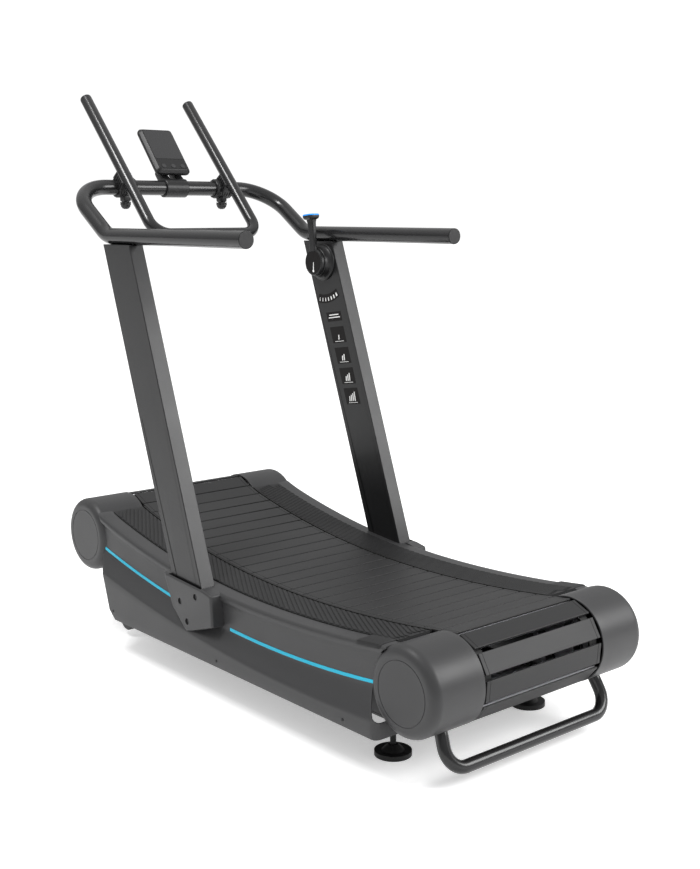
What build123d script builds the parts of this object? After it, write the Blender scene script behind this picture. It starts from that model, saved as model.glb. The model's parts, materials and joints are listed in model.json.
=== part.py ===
"""Curved manual treadmill, in millimetres.

+X points to the step-on end, +Y to the walker's right, +Z up.  The origin is on the
floor, at the middle of the whole machine's box.
"""
from build123d import *
from math import asin, atan2, cos, hypot, pi, radians, sin
import os

os.makedirs("parts", exist_ok=True)

# ---------------------------------------------------------------- driving sizes
FRONT_AXLE = (-686.0, 342.0)      # x, z
REAR_AXLE = (826.0, 248.0)
DRUM_R = 113.0                    # outer face of a slat on a drum
LOW_X, LOW_Z = 222.0, 318.5       # lowest point of the running surface
FRONT_RUN_R = 3190.0              # radius of the running surface ahead of the low point
LIP_X = -540.0                    # where the tight front curve begins
RETURN_SAG = 30.0                 # sag of the return run below its chord

SLAT_COUNT = 60
SLAT_HALF_WIDTH = 216.0
TREAD_T = 6.0
BAR_T = 4.0
NEUTRAL_DEPTH = 14.0              # depth of the carrier belts' cords below the slat face

PLATE_Y = (254.0, 262.0)          # frame side plates
RAIL_Y = (262.0, 312.0)           # base rails
RAIL_Z = (125.0, 185.0)
COWL_R = 117.0
COWL_END_Y = 392.0
COWL_ROUND = 26.0
PAD_Y = (225.0, 335.0)
RIM_Y = 388.0
PANEL_Y = (376.0, 380.0)
SKIRT_Y = (414.0, 418.0)
SKIRT_BOTTOM_Z = 113.0
WALL = 4.0

POST_Y = (360.0, 408.0)
POST_DEPTH = 141.0
POST_LEAN = 19.5                  # degrees from upright, towards the front
POST_REF = (-35.0, 230.0)         # a point on the post's centre line
POST_BOTTOM_Z = 190.0
POST_TOP_Z = 1282.0

RAIL_TUBE_R = 24.0                # handrails and crossbar
HANDRAIL_Y = 383.0
HANDRAIL_Z = POST_TOP_Z + RAIL_TUBE_R
HANDRAIL_REAR_X = 215.0
HANDRAIL_BEND_X = -495.0
CROSSBAR = (-718.0, 1455.0)       # x, z
PUSH_R = 19.0
PUSH_Y = 199.5
PUSH_LOW = (-520.0, 1308.0)
PUSH_TOP = (-927.0, 1744.0)
TUBE_WALL = 2.5

HUB = (-378.0, 1213.0)            # resistance lever axis, x, z
DISC_R = 103.0
DISC_Y = (300.0, 306.0)
YOKE_PIVOT = (-548.0, 260.0)

AXLE_R = 15.0
RUN_CLEAR = 0.05                  # radial running clearance of a shaft in its hole


# ---------------------------------------------------------------- running surface
def unit(x, z):
    """Unit vector along (x, z)."""
    length = hypot(x, z)
    return (x / length, z / length)


REAR_DX = REAR_AXLE[0] - LOW_X
REAR_DZ = LOW_Z - REAR_AXLE[1]
REAR_RUN_R = (REAR_DX ** 2 + REAR_DZ ** 2 - DRUM_R ** 2) / (2 * (DRUM_R - REAR_DZ))
REAR_CENTRE = (LOW_X, LOW_Z + REAR_RUN_R)
FRONT_CENTRE = (LOW_X, LOW_Z + FRONT_RUN_R)
LIP_ANGLE = asin((LOW_X - LIP_X) / FRONT_RUN_R)
LIP_Z = FRONT_CENTRE[1] - FRONT_RUN_R * cos(LIP_ANGLE)
LIP_DX = LIP_X - FRONT_AXLE[0]
LIP_DZ = LIP_Z - FRONT_AXLE[1]
LIP_R = (LIP_DX ** 2 + LIP_DZ ** 2 - DRUM_R ** 2) / (
    2 * (DRUM_R - LIP_DX * sin(LIP_ANGLE) - LIP_DZ * cos(LIP_ANGLE)))
LIP_CENTRE = (LIP_X + LIP_R * sin(LIP_ANGLE), LIP_Z + LIP_R * cos(LIP_ANGLE))
CHORD = hypot(REAR_AXLE[0] - FRONT_AXLE[0], REAR_AXLE[1] - FRONT_AXLE[1])
RETURN_R = CHORD ** 2 / (8 * RETURN_SAG)

FRONT_DIR = unit(FRONT_AXLE[0] - LIP_CENTRE[0], FRONT_AXLE[1] - LIP_CENTRE[1])
LIP_DIR = (-sin(LIP_ANGLE), -cos(LIP_ANGLE))
LOW_DIR = (0.0, -1.0)
REAR_DIR = unit(REAR_AXLE[0] - REAR_CENTRE[0], REAR_AXLE[1] - REAR_CENTRE[1])


def return_centre():
    """Centre of the return run's arc, above both axles."""
    mid = ((FRONT_AXLE[0] + REAR_AXLE[0]) / 2, (FRONT_AXLE[1] + REAR_AXLE[1]) / 2)
    along = unit(REAR_AXLE[0] - FRONT_AXLE[0], REAR_AXLE[1] - FRONT_AXLE[1])
    height = ((RETURN_R - DRUM_R) ** 2 - (CHORD / 2) ** 2) ** 0.5
    return (mid[0] - along[1] * height, mid[1] + along[0] * height)


RETURN_CENTRE = return_centre()
RETURN_FRONT_DIR = unit(FRONT_AXLE[0] - RETURN_CENTRE[0], FRONT_AXLE[1] - RETURN_CENTRE[1])
RETURN_REAR_DIR = unit(REAR_AXLE[0] - RETURN_CENTRE[0], REAR_AXLE[1] - RETURN_CENTRE[1])


def from_centre(centre, radius, direction):
    """Point at a radius from a centre, along a direction."""
    return (centre[0] + radius * direction[0], centre[1] + radius * direction[1])


def arc_points(centre, radius, start, end):
    """Start, middle and end of the short arc between two directions."""
    middle = unit(start[0] + end[0], start[1] + end[1])
    return [from_centre(centre, radius, d) for d in (start, middle, end)]


def direction_at(centre, radius, x):
    """Direction from a centre above the run to the run's point at x."""
    across = (x - centre[0]) / radius
    return (across, -(1 - across ** 2) ** 0.5)


def run_arcs(depth, start=None, end=None):
    """Three-point arcs of the running surface, front to rear, at a depth below the face."""
    start = start or FRONT_DIR
    end = end or REAR_DIR
    return [arc_points(LIP_CENTRE, LIP_R + depth, start, LIP_DIR),
            arc_points(FRONT_CENTRE, FRONT_RUN_R + depth, LIP_DIR, LOW_DIR),
            arc_points(REAR_CENTRE, REAR_RUN_R + depth, LOW_DIR, end)]


def run_height(x):
    """Height of the running surface at x."""
    if x > LOW_X:
        return REAR_CENTRE[1] - (REAR_RUN_R ** 2 - (x - LOW_X) ** 2) ** 0.5
    if x > LIP_X:
        return FRONT_CENTRE[1] - (FRONT_RUN_R ** 2 - (x - LOW_X) ** 2) ** 0.5
    return LIP_CENTRE[1] - (LIP_R ** 2 - (x - LIP_CENTRE[0]) ** 2) ** 0.5


def run_normal(x):
    """Unit vector out of the running surface at x."""
    centre = REAR_CENTRE if x > LOW_X else FRONT_CENTRE if x > LIP_X else LIP_CENTRE
    return unit(centre[0] - x, centre[1] - run_height(x))


def side_plane(y):
    """Plane at y whose local axes are X and Z; extruding goes towards -Y."""
    return Plane.XZ.offset(-y)


def span(side, inner, outer):
    """Low and high y of a stretch from inner to outer on a side, -1 left, +1 right."""
    return (inner, outer) if side > 0 else (-outer, -inner)


def run_band(low_y, high_y, top_depth, bottom_depth, front_x=None, rear_x=None):
    """Add a band that follows the running surface, between two depths below it."""
    start = direction_at(LIP_CENTRE, LIP_R, front_x) if front_x else None
    end = direction_at(REAR_CENTRE, REAR_RUN_R, rear_x) if rear_x else None
    top = run_arcs(top_depth, start, end)
    bottom = run_arcs(bottom_depth, start, end)
    with BuildSketch(side_plane(high_y)) as band:
        with BuildLine():
            for arc in top + bottom:
                ThreePointArc(*arc)
            Line(top[0][0], bottom[0][0])
            Line(top[-1][2], bottom[-1][2])
        make_face()
    extrude(band.sketch, amount=high_y - low_y)


SIDES = {"left": -1, "right": 1}


def both(maker, *args):
    """The left and right pieces of a mirrored pair, as separate solids of one node."""
    with BuildPart() as pieces:
        for side in SIDES.values():
            add(maker(side, *args))
    return pieces.part


# ---------------------------------------------------------------- frame
PLATE_BOTTOM_Z = 160.0
PLATE_FRONT_X, PLATE_REAR_X = -560.0, 760.0
PLATE_TOP_DEPTH = 14.0
AXLE_BOSS_R = 60.0
AXLE_HOLE_R = 22.0
RAIL_X = (-540.0, 800.0)
RAIL_T = 3.0


def frame_plate(side):
    """Steel side plate: its top edge follows the run, its ends carry the axle bearings."""
    low, high = span(side, *PLATE_Y)
    top = run_arcs(PLATE_TOP_DEPTH)
    with BuildPart() as plate:
        with BuildSketch(side_plane(high)):
            with BuildLine():
                for arc in top:
                    ThreePointArc(*arc)
                Polyline(top[0][0], FRONT_AXLE, (PLATE_FRONT_X, PLATE_BOTTOM_Z),
                         (PLATE_REAR_X, PLATE_BOTTOM_Z), REAR_AXLE, top[-1][2])
            make_face()
            with Locations(FRONT_AXLE, REAR_AXLE):
                Circle(AXLE_BOSS_R)
            with Locations(FRONT_AXLE, REAR_AXLE):
                Circle(AXLE_HOLE_R, mode=Mode.SUBTRACT)
        extrude(amount=high - low)
    return plate.part


def box_between(x, y, z):
    """Add a box given by its low and high x, y and z."""
    with Locations((x[0], y[0], z[0])):
        Box(x[1] - x[0], y[1] - y[0], z[1] - z[0], align=(Align.MIN, Align.MIN, Align.MIN))


def cut_between(x, y, z):
    """Cut a box given by its low and high x, y and z."""
    with Locations((x[0], y[0], z[0])):
        Box(x[1] - x[0], y[1] - y[0], z[1] - z[0], align=(Align.MIN, Align.MIN, Align.MIN),
            mode=Mode.SUBTRACT)


def base_rail(side):
    """Rectangular steel tube along the floor side of the machine."""
    y = span(side, *RAIL_Y)
    with BuildPart() as rail:
        box_between(RAIL_X, y, RAIL_Z)
        cut_between((RAIL_X[0] + RAIL_T, RAIL_X[1]), (y[0] + RAIL_T, y[1] - RAIL_T),
                    (RAIL_Z[0] + RAIL_T, RAIL_Z[1] - RAIL_T))
        with Locations((REAR_FOOT[0], side * REAR_FOOT[1], RAIL_Z[0])):
            Cylinder(STEM_R + 1, 60, mode=Mode.SUBTRACT)
    return rail.part


CROSS_SPOTS = [(-350.0, 290.0), (60.0, 230.0), (480.0, 230.0)]   # x and z of the centre
CROSS_SIZE = (50.0, 40.0)
FOOT_TIE_X = -500.0
FOOT_TIE_Z = (117.0, 157.0)
REAR_FOOT = (654.5, 259.0)
FRONT_FOOT = (FOOT_TIE_X, 190.0)
FOOT_BRACKET_Z = (117.0, 125.0)
STEM_R = 8.0

with BuildPart() as cross_members:
    with Locations([(x, 0, z) for x, z in CROSS_SPOTS]):
        Box(CROSS_SIZE[0], 2 * PLATE_Y[0], CROSS_SIZE[1])
    with Locations([(x, 0, z) for x, z in CROSS_SPOTS]):
        Box(CROSS_SIZE[0] - 6, 2 * PLATE_Y[0], CROSS_SIZE[1] - 6, mode=Mode.SUBTRACT)

    box_between((FOOT_TIE_X - 25, FOOT_TIE_X + 25), (-RAIL_Y[0], RAIL_Y[0]), FOOT_TIE_Z)
    cut_between((FOOT_TIE_X - 22, FOOT_TIE_X + 22), (-RAIL_Y[0], RAIL_Y[0]),
                (FOOT_TIE_Z[0] + 3, FOOT_TIE_Z[1] - 3))
    with Locations((FOOT_TIE_X, FRONT_FOOT[1], FOOT_TIE_Z[0]),
                   (FOOT_TIE_X, -FRONT_FOOT[1], FOOT_TIE_Z[0])):
        Cylinder(STEM_R + RUN_CLEAR, 20, mode=Mode.SUBTRACT)

    for side in SIDES.values():
        box_between((REAR_FOOT[0] - 40, REAR_FOOT[0] + 40), span(side, 228, RAIL_Y[1]),
                    FOOT_BRACKET_Z)
        with Locations((REAR_FOOT[0], side * REAR_FOOT[1], FOOT_BRACKET_Z[0])):
            Cylinder(STEM_R + RUN_CLEAR, 30, mode=Mode.SUBTRACT)

# ---------------------------------------------------------------- slat belt
CARRIER_Y = (186.0, 213.0)
CARRIER_DEPTH = (11.2, 17.2)
TREAD_LENGTH = 56.0
BAR_LENGTH = 50.0


def loop_segments(depth):
    """The closed belt loop as (centre, radius, start, end, outward) arcs at a depth."""
    return [(LIP_CENTRE, LIP_R + depth, FRONT_DIR, LIP_DIR, -1),
            (FRONT_CENTRE, FRONT_RUN_R + depth, LIP_DIR, LOW_DIR, -1),
            (REAR_CENTRE, REAR_RUN_R + depth, LOW_DIR, REAR_DIR, -1),
            (REAR_AXLE, DRUM_R - depth, (-REAR_DIR[0], -REAR_DIR[1]), (1.0, 0.0), 1),
            (REAR_AXLE, DRUM_R - depth, (1.0, 0.0), RETURN_REAR_DIR, 1),
            (RETURN_CENTRE, RETURN_R - depth, RETURN_REAR_DIR, RETURN_FRONT_DIR, 1),
            (FRONT_AXLE, DRUM_R - depth, RETURN_FRONT_DIR, (-1.0, 0.0), 1),
            (FRONT_AXLE, DRUM_R - depth, (-1.0, 0.0), (-FRONT_DIR[0], -FRONT_DIR[1]), 1)]


def turn(start, end):
    """Signed angle from one direction to another, the short way."""
    angle = atan2(end[1], end[0]) - atan2(start[1], start[0])
    return (angle + pi) % (2 * pi) - pi


def slat_planes():
    """A plane on the face of each slat: local X along the travel, local Z outwards."""
    lengths = [radius * abs(turn(start, end))
               for _, radius, start, end, _ in loop_segments(NEUTRAL_DEPTH)]
    pitch = sum(lengths) / SLAT_COUNT
    planes = []
    for number in range(SLAT_COUNT):
        travel = number * pitch
        index = 0
        while travel > lengths[index]:
            travel -= lengths[index]
            index += 1
        centre, radius, start, end, outward = loop_segments(0)[index]
        angle = atan2(start[1], start[0]) + turn(start, end) * travel / lengths[index]
        ray = (cos(angle), sin(angle))
        x, z = from_centre(centre, radius, ray)
        normal = (outward * ray[0], outward * ray[1])
        planes.append(Plane(origin=(x, 0, z), x_dir=(normal[1], 0, -normal[0]),
                            z_dir=(normal[0], 0, normal[1])))
    return planes


SLAT_PLANES = slat_planes()

with BuildPart() as belt_treads:
    with Locations(*SLAT_PLANES):
        Box(TREAD_LENGTH, 2 * SLAT_HALF_WIDTH, TREAD_T,
            align=(Align.CENTER, Align.CENTER, Align.MAX))

with BuildPart() as belt_bars:
    with BuildSketch(Plane.YZ) as bar_shape:
        with Locations((0, -TREAD_T - BAR_T / 2)):
            Rectangle(2 * SLAT_HALF_WIDTH - 4, BAR_T)
        with Locations((0, -TREAD_T - 13)):
            Rectangle(2 * SLAT_HALF_WIDTH - 72, 18)
    bar = extrude(bar_shape.sketch, amount=4, both=True, mode=Mode.PRIVATE)
    flange = Location((0, 0, -TREAD_T - BAR_T / 2)) * Box(
        BAR_LENGTH, 2 * SLAT_HALF_WIDTH - 4, BAR_T, mode=Mode.PRIVATE)
    slat_bar = bar + flange
    for plane in SLAT_PLANES:
        add(plane.location * slat_bar)


def carrier_loop(y_low, y_high):
    """Add one closed flat belt between the two carrier depths."""
    with BuildSketch(side_plane(y_high)) as ring:
        for depth, mode in zip(CARRIER_DEPTH, (Mode.ADD, Mode.SUBTRACT)):
            with BuildLine():
                for centre, radius, start, end, _ in loop_segments(depth):
                    ThreePointArc(*arc_points(centre, radius, start, end))
            make_face(mode=mode)
    extrude(ring.sketch, amount=y_high - y_low)


with BuildPart() as carrier_belts:
    for side in SIDES.values():
        carrier_loop(*span(side, *CARRIER_Y))

# ---------------------------------------------------------------- guide rollers
ROLLER_R = 15.0
ROLLER_DEPTH = CARRIER_DEPTH[1] + ROLLER_R + 0.4
ROLLER_COUNT = 22
ROLLER_X = (-560.0, 714.0)
ROLLER_BOLT_R = 5.0


def roller_centres():
    """Centres of the guide rollers, just under the carrier belts."""
    step = (ROLLER_X[1] - ROLLER_X[0]) / (ROLLER_COUNT - 1)
    centres = []
    for number in range(ROLLER_COUNT):
        x = ROLLER_X[0] + number * step
        out = run_normal(x)
        centres.append((x - out[0] * ROLLER_DEPTH, run_height(x) - out[1] * ROLLER_DEPTH))
    return centres


def along_y(x, z, radius, low, high, mode=Mode.ADD):
    """Add a cylinder whose axis is parallel to Y."""
    with BuildSketch(side_plane(high)) as disc:
        with Locations((x, z)):
            Circle(radius)
    extrude(disc.sketch, amount=high - low, mode=mode)


def guide_rollers(side):
    """The ball-bearing rollers of one side, with their bolt holes."""
    low, high = span(side, CARRIER_Y[0] + 2, CARRIER_Y[1] - 1)
    with BuildPart() as rollers:
        with BuildSketch(side_plane(high)):
            with Locations(*roller_centres()):
                Circle(ROLLER_R)
            with Locations(*roller_centres()):
                Circle(ROLLER_BOLT_R, mode=Mode.SUBTRACT)
        extrude(amount=high - low)
    return rollers.part


with BuildPart() as roller_bolts:
    for side in SIDES.values():
        low, high = span(side, CARRIER_Y[0] - 2, PLATE_Y[0])
        with BuildSketch(side_plane(high)):
            with Locations(*roller_centres()):
                Circle(ROLLER_BOLT_R)
        extrude(amount=high - low)

# ---------------------------------------------------------------- axles, pulleys, bearings
PULLEY_R = DRUM_R - CARRIER_DEPTH[1] - 0.4
BLOCK_Y = (262.0, 290.0)
BLOCK_R = 42.0
AXLE_HALF = {"front": 318.0, "rear": 300.0}


def axle(place, half):
    """Solid steel axle."""
    with BuildPart() as shaft:
        along_y(*place, AXLE_R, -half, half)
    return shaft.part


def pulleys(place):
    """The two belt pulleys that are pressed on one axle."""
    with BuildPart() as pair:
        for side in SIDES.values():
            low, high = span(side, *CARRIER_Y)
            along_y(*place, PULLEY_R, low, high)
            with BuildSketch(side_plane(high)):
                with Locations(place):
                    with PolarLocations(62, 6):
                        Circle(18)
            extrude(amount=high - low, mode=Mode.SUBTRACT)
            along_y(*place, AXLE_R, low - 1, high + 1, mode=Mode.SUBTRACT)
    return pair.part


def bearing_blocks(side):
    """Bearing housings of both axles, on the outside of one frame plate."""
    low, high = span(side, *BLOCK_Y)
    with BuildPart() as blocks:
        for place in (FRONT_AXLE, REAR_AXLE):
            along_y(*place, BLOCK_R, low, high)
            along_y(*place, AXLE_R + RUN_CLEAR, low - 1, high + 1, mode=Mode.SUBTRACT)
    return blocks.part


with BuildPart() as brake_disc:
    along_y(*FRONT_AXLE, DISC_R, *DISC_Y)
    along_y(*FRONT_AXLE, 26, DISC_Y[0] - 6, DISC_Y[1])
    along_y(*FRONT_AXLE, AXLE_R, DISC_Y[0] - 7, DISC_Y[1] + 1, mode=Mode.SUBTRACT)

TENSION_R = 6.0
with BuildPart() as tension_screws:
    for side in SIDES.values():
        with Locations(Plane(origin=(REAR_AXLE[0] - BLOCK_R, side * 276, REAR_AXLE[1]),
                             z_dir=(-1, 0, 0))):
            Cylinder(TENSION_R, 46, align=(Align.CENTER, Align.CENTER, Align.MIN))
            with Locations((0, 0, 46)):
                Cylinder(10, 8, align=(Align.CENTER, Align.CENTER, Align.MIN))

# ---------------------------------------------------------------- eddy-current brake
YOKE_Y = (289.0, 297.0)
YOKE_FAR_Y = (309.0, 317.0)
PIN_R = 6.0

with BuildPart() as yoke_pivot:
    along_y(*YOKE_PIVOT, PIN_R, PLATE_Y[1], 322)
    along_y(*YOKE_PIVOT, 11, PLATE_Y[1], YOKE_Y[0] - 0.5)

with BuildPart() as magnet_yoke:
    for low, high in (YOKE_Y, YOKE_FAR_Y):
        with BuildSketch(side_plane(high)):
            with BuildLine():
                Polyline((-562, 250), (-534, 250), (-534, 360), (-600, 372), (-600, 318),
                         (-562, 312), close=True)
            make_face()
        extrude(amount=high - low)
    box_between((-549, -535), (YOKE_Y[1], YOKE_FAR_Y[0]), (318, 355))
    along_y(*YOKE_PIVOT, PIN_R + RUN_CLEAR, 280, 330, mode=Mode.SUBTRACT)

with BuildPart() as brake_magnets:
    box_between((-599, -574), (YOKE_Y[1], DISC_Y[0] - 0.8), (324, 366))
    box_between((-599, -574), (DISC_Y[1] + 0.8, YOKE_FAR_Y[0]), (324, 366))

# ---------------------------------------------------------------- side covers
CREASE = [(-606.0, 318.0), (60.0, 218.0), (762.0, 243.0)]
SKIRT_TOP = [(-536.0, 255.0), (130.0, 168.0), (762.0, 164.0)]
SKIRT_FRONT = (-499.0, 140.0)
RIM_X = (-606.0, 742.0)


def post_plane(y, z):
    """Plane square to the post at a height: local X across the post, local Z up along it."""
    x = POST_REF[0] - (z - POST_REF[1]) * sin(radians(POST_LEAN)) / cos(radians(POST_LEAN))
    lean = radians(POST_LEAN)
    return Plane(origin=(x, y, z), x_dir=(cos(lean), 0, sin(lean)),
                 z_dir=(-sin(lean), 0, cos(lean)))


def cut_post_slot(side, gap, low_z, length):
    """Cut the post's outline, with a gap all round, out of a cover."""
    width = POST_Y[1] - POST_Y[0]
    with BuildSketch(post_plane(side * (POST_Y[0] + POST_Y[1]) / 2, low_z)) as outline:
        Rectangle(POST_DEPTH + 2 * gap, width + 2 * gap)
    extrude(outline.sketch, amount=length, mode=Mode.SUBTRACT)


def lowered(points, drop):
    """The same points moved down."""
    return [(x, z - drop) for x, z in points]


def side_cover(side):
    """Moulded side cover: rim, recessed panel, flared ledge and skirt in one shell."""
    with BuildPart() as cover:
        run_band(*span(side, PAD_Y[0], RIM_Y), 8, 12, RIM_X[0], RIM_X[1])
        run_band(*span(side, PAD_Y[1], RIM_Y), 4, 12, RIM_X[0], RIM_X[1])
        run_band(*span(side, RIM_Y - WALL, RIM_Y), 12, 22, RIM_X[0], RIM_X[1])
        panel_top = run_arcs(11, direction_at(LIP_CENTRE, LIP_R, RIM_X[0]),
                             direction_at(REAR_CENTRE, REAR_RUN_R, RIM_X[1]))
        panel_foot = lowered(CREASE, WALL)
        with BuildSketch(side_plane(span(side, *PANEL_Y)[1])):
            with BuildLine():
                for arc in panel_top:
                    ThreePointArc(*arc)
                Line(panel_top[0][0], panel_foot[0])
                ThreePointArc(*panel_foot)
                Line(panel_foot[2], panel_top[-1][2])
            make_face()
        extrude(amount=WALL)
        for y, points in ((PANEL_Y[0], CREASE), (SKIRT_Y[1], SKIRT_TOP)):
            under = lowered(points, WALL)
            with BuildSketch(side_plane(side * y)):
                with BuildLine():
                    ThreePointArc(*points)
                    Line(points[2], under[2])
                    ThreePointArc(*under)
                    Line(under[0], points[0])
                make_face()
        loft(ruled=True)
        with BuildSketch(side_plane(span(side, *SKIRT_Y)[1])):
            with BuildLine():
                ThreePointArc(*SKIRT_TOP)
                Polyline(SKIRT_TOP[2], (SKIRT_TOP[2][0], SKIRT_BOTTOM_Z),
                         (-470, SKIRT_BOTTOM_Z), SKIRT_FRONT, SKIRT_TOP[0])
            make_face()
        extrude(amount=WALL)
        box_between((SKIRT_TOP[2][0] - WALL, SKIRT_TOP[2][0]), span(side, 320, SKIRT_Y[1]),
                    (SKIRT_BOTTOM_Z, SKIRT_TOP[2][1]))
        cut_post_slot(side, 2, 150, 260)
        for place in (FRONT_AXLE, REAR_AXLE):
            along_y(*place, COWL_R + 1, *span(side, PANEL_Y[1], SKIRT_Y[1] + 3),
                    mode=Mode.SUBTRACT)
    return cover.part


def rounded_drum(side, place, radius, end_y, corner):
    """A solid cylinder parallel to Y, with its outer end's edge rounded."""
    with BuildPart() as drum:
        along_y(*place, radius, *span(side, PAD_Y[0] - 2, end_y))
        rim = drum.edges().filter_by(GeomType.CIRCLE).sort_by(Axis.Y)[-1 if side > 0 else 0]
        fillet(rim, corner)
    return drum.part


def cowl(side, place, openings):
    """Round cowl over one end of one drum, cut open where the machine passes through."""
    with BuildPart() as shell:
        add(rounded_drum(side, place, COWL_R, COWL_END_Y, COWL_ROUND))
        add(rounded_drum(side, place, COWL_R - WALL, COWL_END_Y - WALL, COWL_ROUND - WALL),
            mode=Mode.SUBTRACT)
        for x, z in openings:
            cut_between(x, span(side, PAD_Y[0] - 3, PANEL_Y[1] + 2), z)
    return shell.part


FRONT_OPEN = [((FRONT_AXLE[0] + 30, FRONT_AXLE[0] + 130), (200.0, 428.0))]
REAR_OPEN = [((REAR_AXLE[0] - 130, REAR_AXLE[0] - 30), (110.0, 346.0)),
             ((REAR_AXLE[0] - 130, REAR_AXLE[0] + 130), (110.0, 158.0))]

# ---------------------------------------------------------------- pads, seals, stripes
PAD_X = (-596.0, 752.0)
SEAL_Y = (219.0, 224.5)
STRIPE_X = [(-596.0, -174.0), (108.0, 722.0)]
STRIPE_W = 9.0
STRIPE_T = 1.2


def crease_height(x):
    """Height of the crease arc at x, from its three points."""
    (x1, z1), (x2, z2), (x3, z3) = CREASE
    first = (x - x2) * (x - x3) / ((x1 - x2) * (x1 - x3)) * z1
    second = (x - x1) * (x - x3) / ((x2 - x1) * (x2 - x3)) * z2
    third = (x - x1) * (x - x2) / ((x3 - x1) * (x3 - x2)) * z3
    return first + second + third


def foot_pad(side):
    """Ribbed standing pad beside the belt."""
    with BuildPart() as pad:
        run_band(*span(side, *PAD_Y), 0, 8, *PAD_X)
        cut_post_slot(side, 2, 150, 260)
    return pad.part


with BuildPart() as belt_seals:
    for side in SIDES.values():
        run_band(*span(side, *SEAL_Y), -1, 14, *PAD_X)

with BuildPart() as trim_stripes:
    for side in SIDES.values():
        for start, end in STRIPE_X:
            middle = (start + end) / 2
            upper = [(x, crease_height(x) + STRIPE_W + 2) for x in (start, middle, end)]
            lower = lowered(upper, STRIPE_W)
            with BuildSketch(side_plane(span(side, PANEL_Y[1], PANEL_Y[1] + STRIPE_T)[1])):
                with BuildLine():
                    ThreePointArc(*upper)
                    Line(upper[2], lower[2])
                    ThreePointArc(*lower)
                    Line(lower[0], upper[0])
                make_face()
            extrude(amount=STRIPE_T)

# ---------------------------------------------------------------- posts
BOLT_SPOTS = [(-88.0, 266.0), (-8.0, 296.0), (-52.0, 213.0)]
BOLT_R = 6.0
BOOT_Y = (380.0, 420.0)
BOOT_OUTLINE = [(-176, 336), (28, 324), (74, 316), (100, 214), (40, 178), (-70, 184), (-130, 240)]


def post(side):
    """Rectangular steel post, closed by a cap plate under the handrail."""
    middle = side * (POST_Y[0] + POST_Y[1]) / 2
    width = POST_Y[1] - POST_Y[0]
    with BuildPart() as tube:
        with BuildSketch(post_plane(middle, POST_BOTTOM_Z)):
            Rectangle(POST_DEPTH, width)
            Rectangle(POST_DEPTH - 6, width - 6, mode=Mode.SUBTRACT)
        extrude(amount=1300)
        with BuildSketch(post_plane(middle, POST_TOP_Z - 30)):
            Rectangle(POST_DEPTH, width)
        extrude(amount=100)
        cut_between((-700, 200), span(side, 340, 430), (POST_TOP_Z, 1500))
        for x, z in BOLT_SPOTS:
            along_y(x, z, BOLT_R, *span(side, 350, 420), mode=Mode.SUBTRACT)
    return tube.part


def post_boot(side):
    """Moulded cover over the foot of the post, with three bolt recesses."""
    low, high = span(side, *BOOT_Y)
    with BuildPart() as boot:
        with BuildSketch(side_plane(high)):
            with BuildLine():
                Polyline(*BOOT_OUTLINE, close=True)
            make_face()
        extrude(amount=high - low)
        with BuildSketch(side_plane(span(side, BOOT_Y[0] - 1, BOOT_Y[1] - WALL)[1])):
            with BuildLine():
                Polyline(*BOOT_OUTLINE, close=True)
            make_face()
            offset(amount=-WALL, mode=Mode.REPLACE)
        extrude(amount=BOOT_Y[1] - WALL - BOOT_Y[0] + 1, mode=Mode.SUBTRACT)
        for x, z in BOLT_SPOTS:
            along_y(x, z, BOLT_R + 3, *span(side, 400, 425), mode=Mode.SUBTRACT)
        cut_post_slot(side, 2, 150, 260)
        cut_cover_ledge(side)
        with BuildPart(mode=Mode.SUBTRACT):
            run_band(*span(side, BOOT_Y[0] - 1, RIM_Y + 0.5), 0, 24, *RIM_X)
    return boot.part.solids().sort_by(SortBy.VOLUME)[-1]


def cut_cover_ledge(side):
    """Take the side cover's ledge and skirt, with a small gap, out of the boot."""
    under = lowered(CREASE, WALL + 1)
    over = lowered(CREASE, -1)
    skirt_under = lowered(SKIRT_TOP, 80)
    skirt_over = lowered(SKIRT_TOP, -1)
    sections = []
    for y, above, below in ((PANEL_Y[0], over, under), (SKIRT_Y[1] + 4, skirt_over, skirt_under)):
        with BuildSketch(side_plane(side * y)) as section:
            with BuildLine():
                ThreePointArc(*above)
                Line(above[2], below[2])
                ThreePointArc(*below)
                Line(below[0], above[0])
            make_face()
        sections.append(section.sketch)
    loft(sections, ruled=True, mode=Mode.SUBTRACT)


with BuildPart() as post_bolts:
    for side in SIDES.values():
        for x, z in BOLT_SPOTS:
            along_y(x, z, BOLT_R, *span(side, 350, POST_Y[1]))
            along_y(x, z, BOLT_R + 2.5, *span(side, POST_Y[1], POST_Y[1] + 8))

with BuildPart() as post_brackets:
    for side in SIDES.values():
        with BuildSketch(side_plane(span(side, 354, POST_Y[0])[1])):
            with BuildLine():
                Polyline((-118, 300), (12, 306), (52, 195), (40, 130), (-20, 130), (-24, 192),
                         (-74, 192), close=True)
            make_face()
        extrude(amount=POST_Y[0] - 354)
        box_between((-18, 38), span(side, RAIL_Y[1], 354), (132, 176))
        for x, z in BOLT_SPOTS:
            along_y(x, z, BOLT_R, *span(side, 345, 365), mode=Mode.SUBTRACT)


# ---------------------------------------------------------------- tubes of the upper frame
def bent_tube(points, bends, radius, wall=TUBE_WALL):
    """Round tube along straight runs joined by bends."""
    with BuildPart() as tube:
        with BuildLine() as route:
            FilletPolyline(*points, radius=bends)
        with BuildSketch(Plane(origin=route.line @ 0, z_dir=route.line % 0)):
            Circle(radius)
            if wall:
                Circle(radius - wall, mode=Mode.SUBTRACT)
        sweep()
    return tube.part


DIAGONAL = unit(HANDRAIL_BEND_X - CROSSBAR[0], HANDRAIL_Z - CROSSBAR[1])
UPPER_BEND_R = 130.0
SPLICE = from_centre(CROSSBAR, UPPER_BEND_R + 22, DIAGONAL)
CAP_T = 3.0


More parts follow.
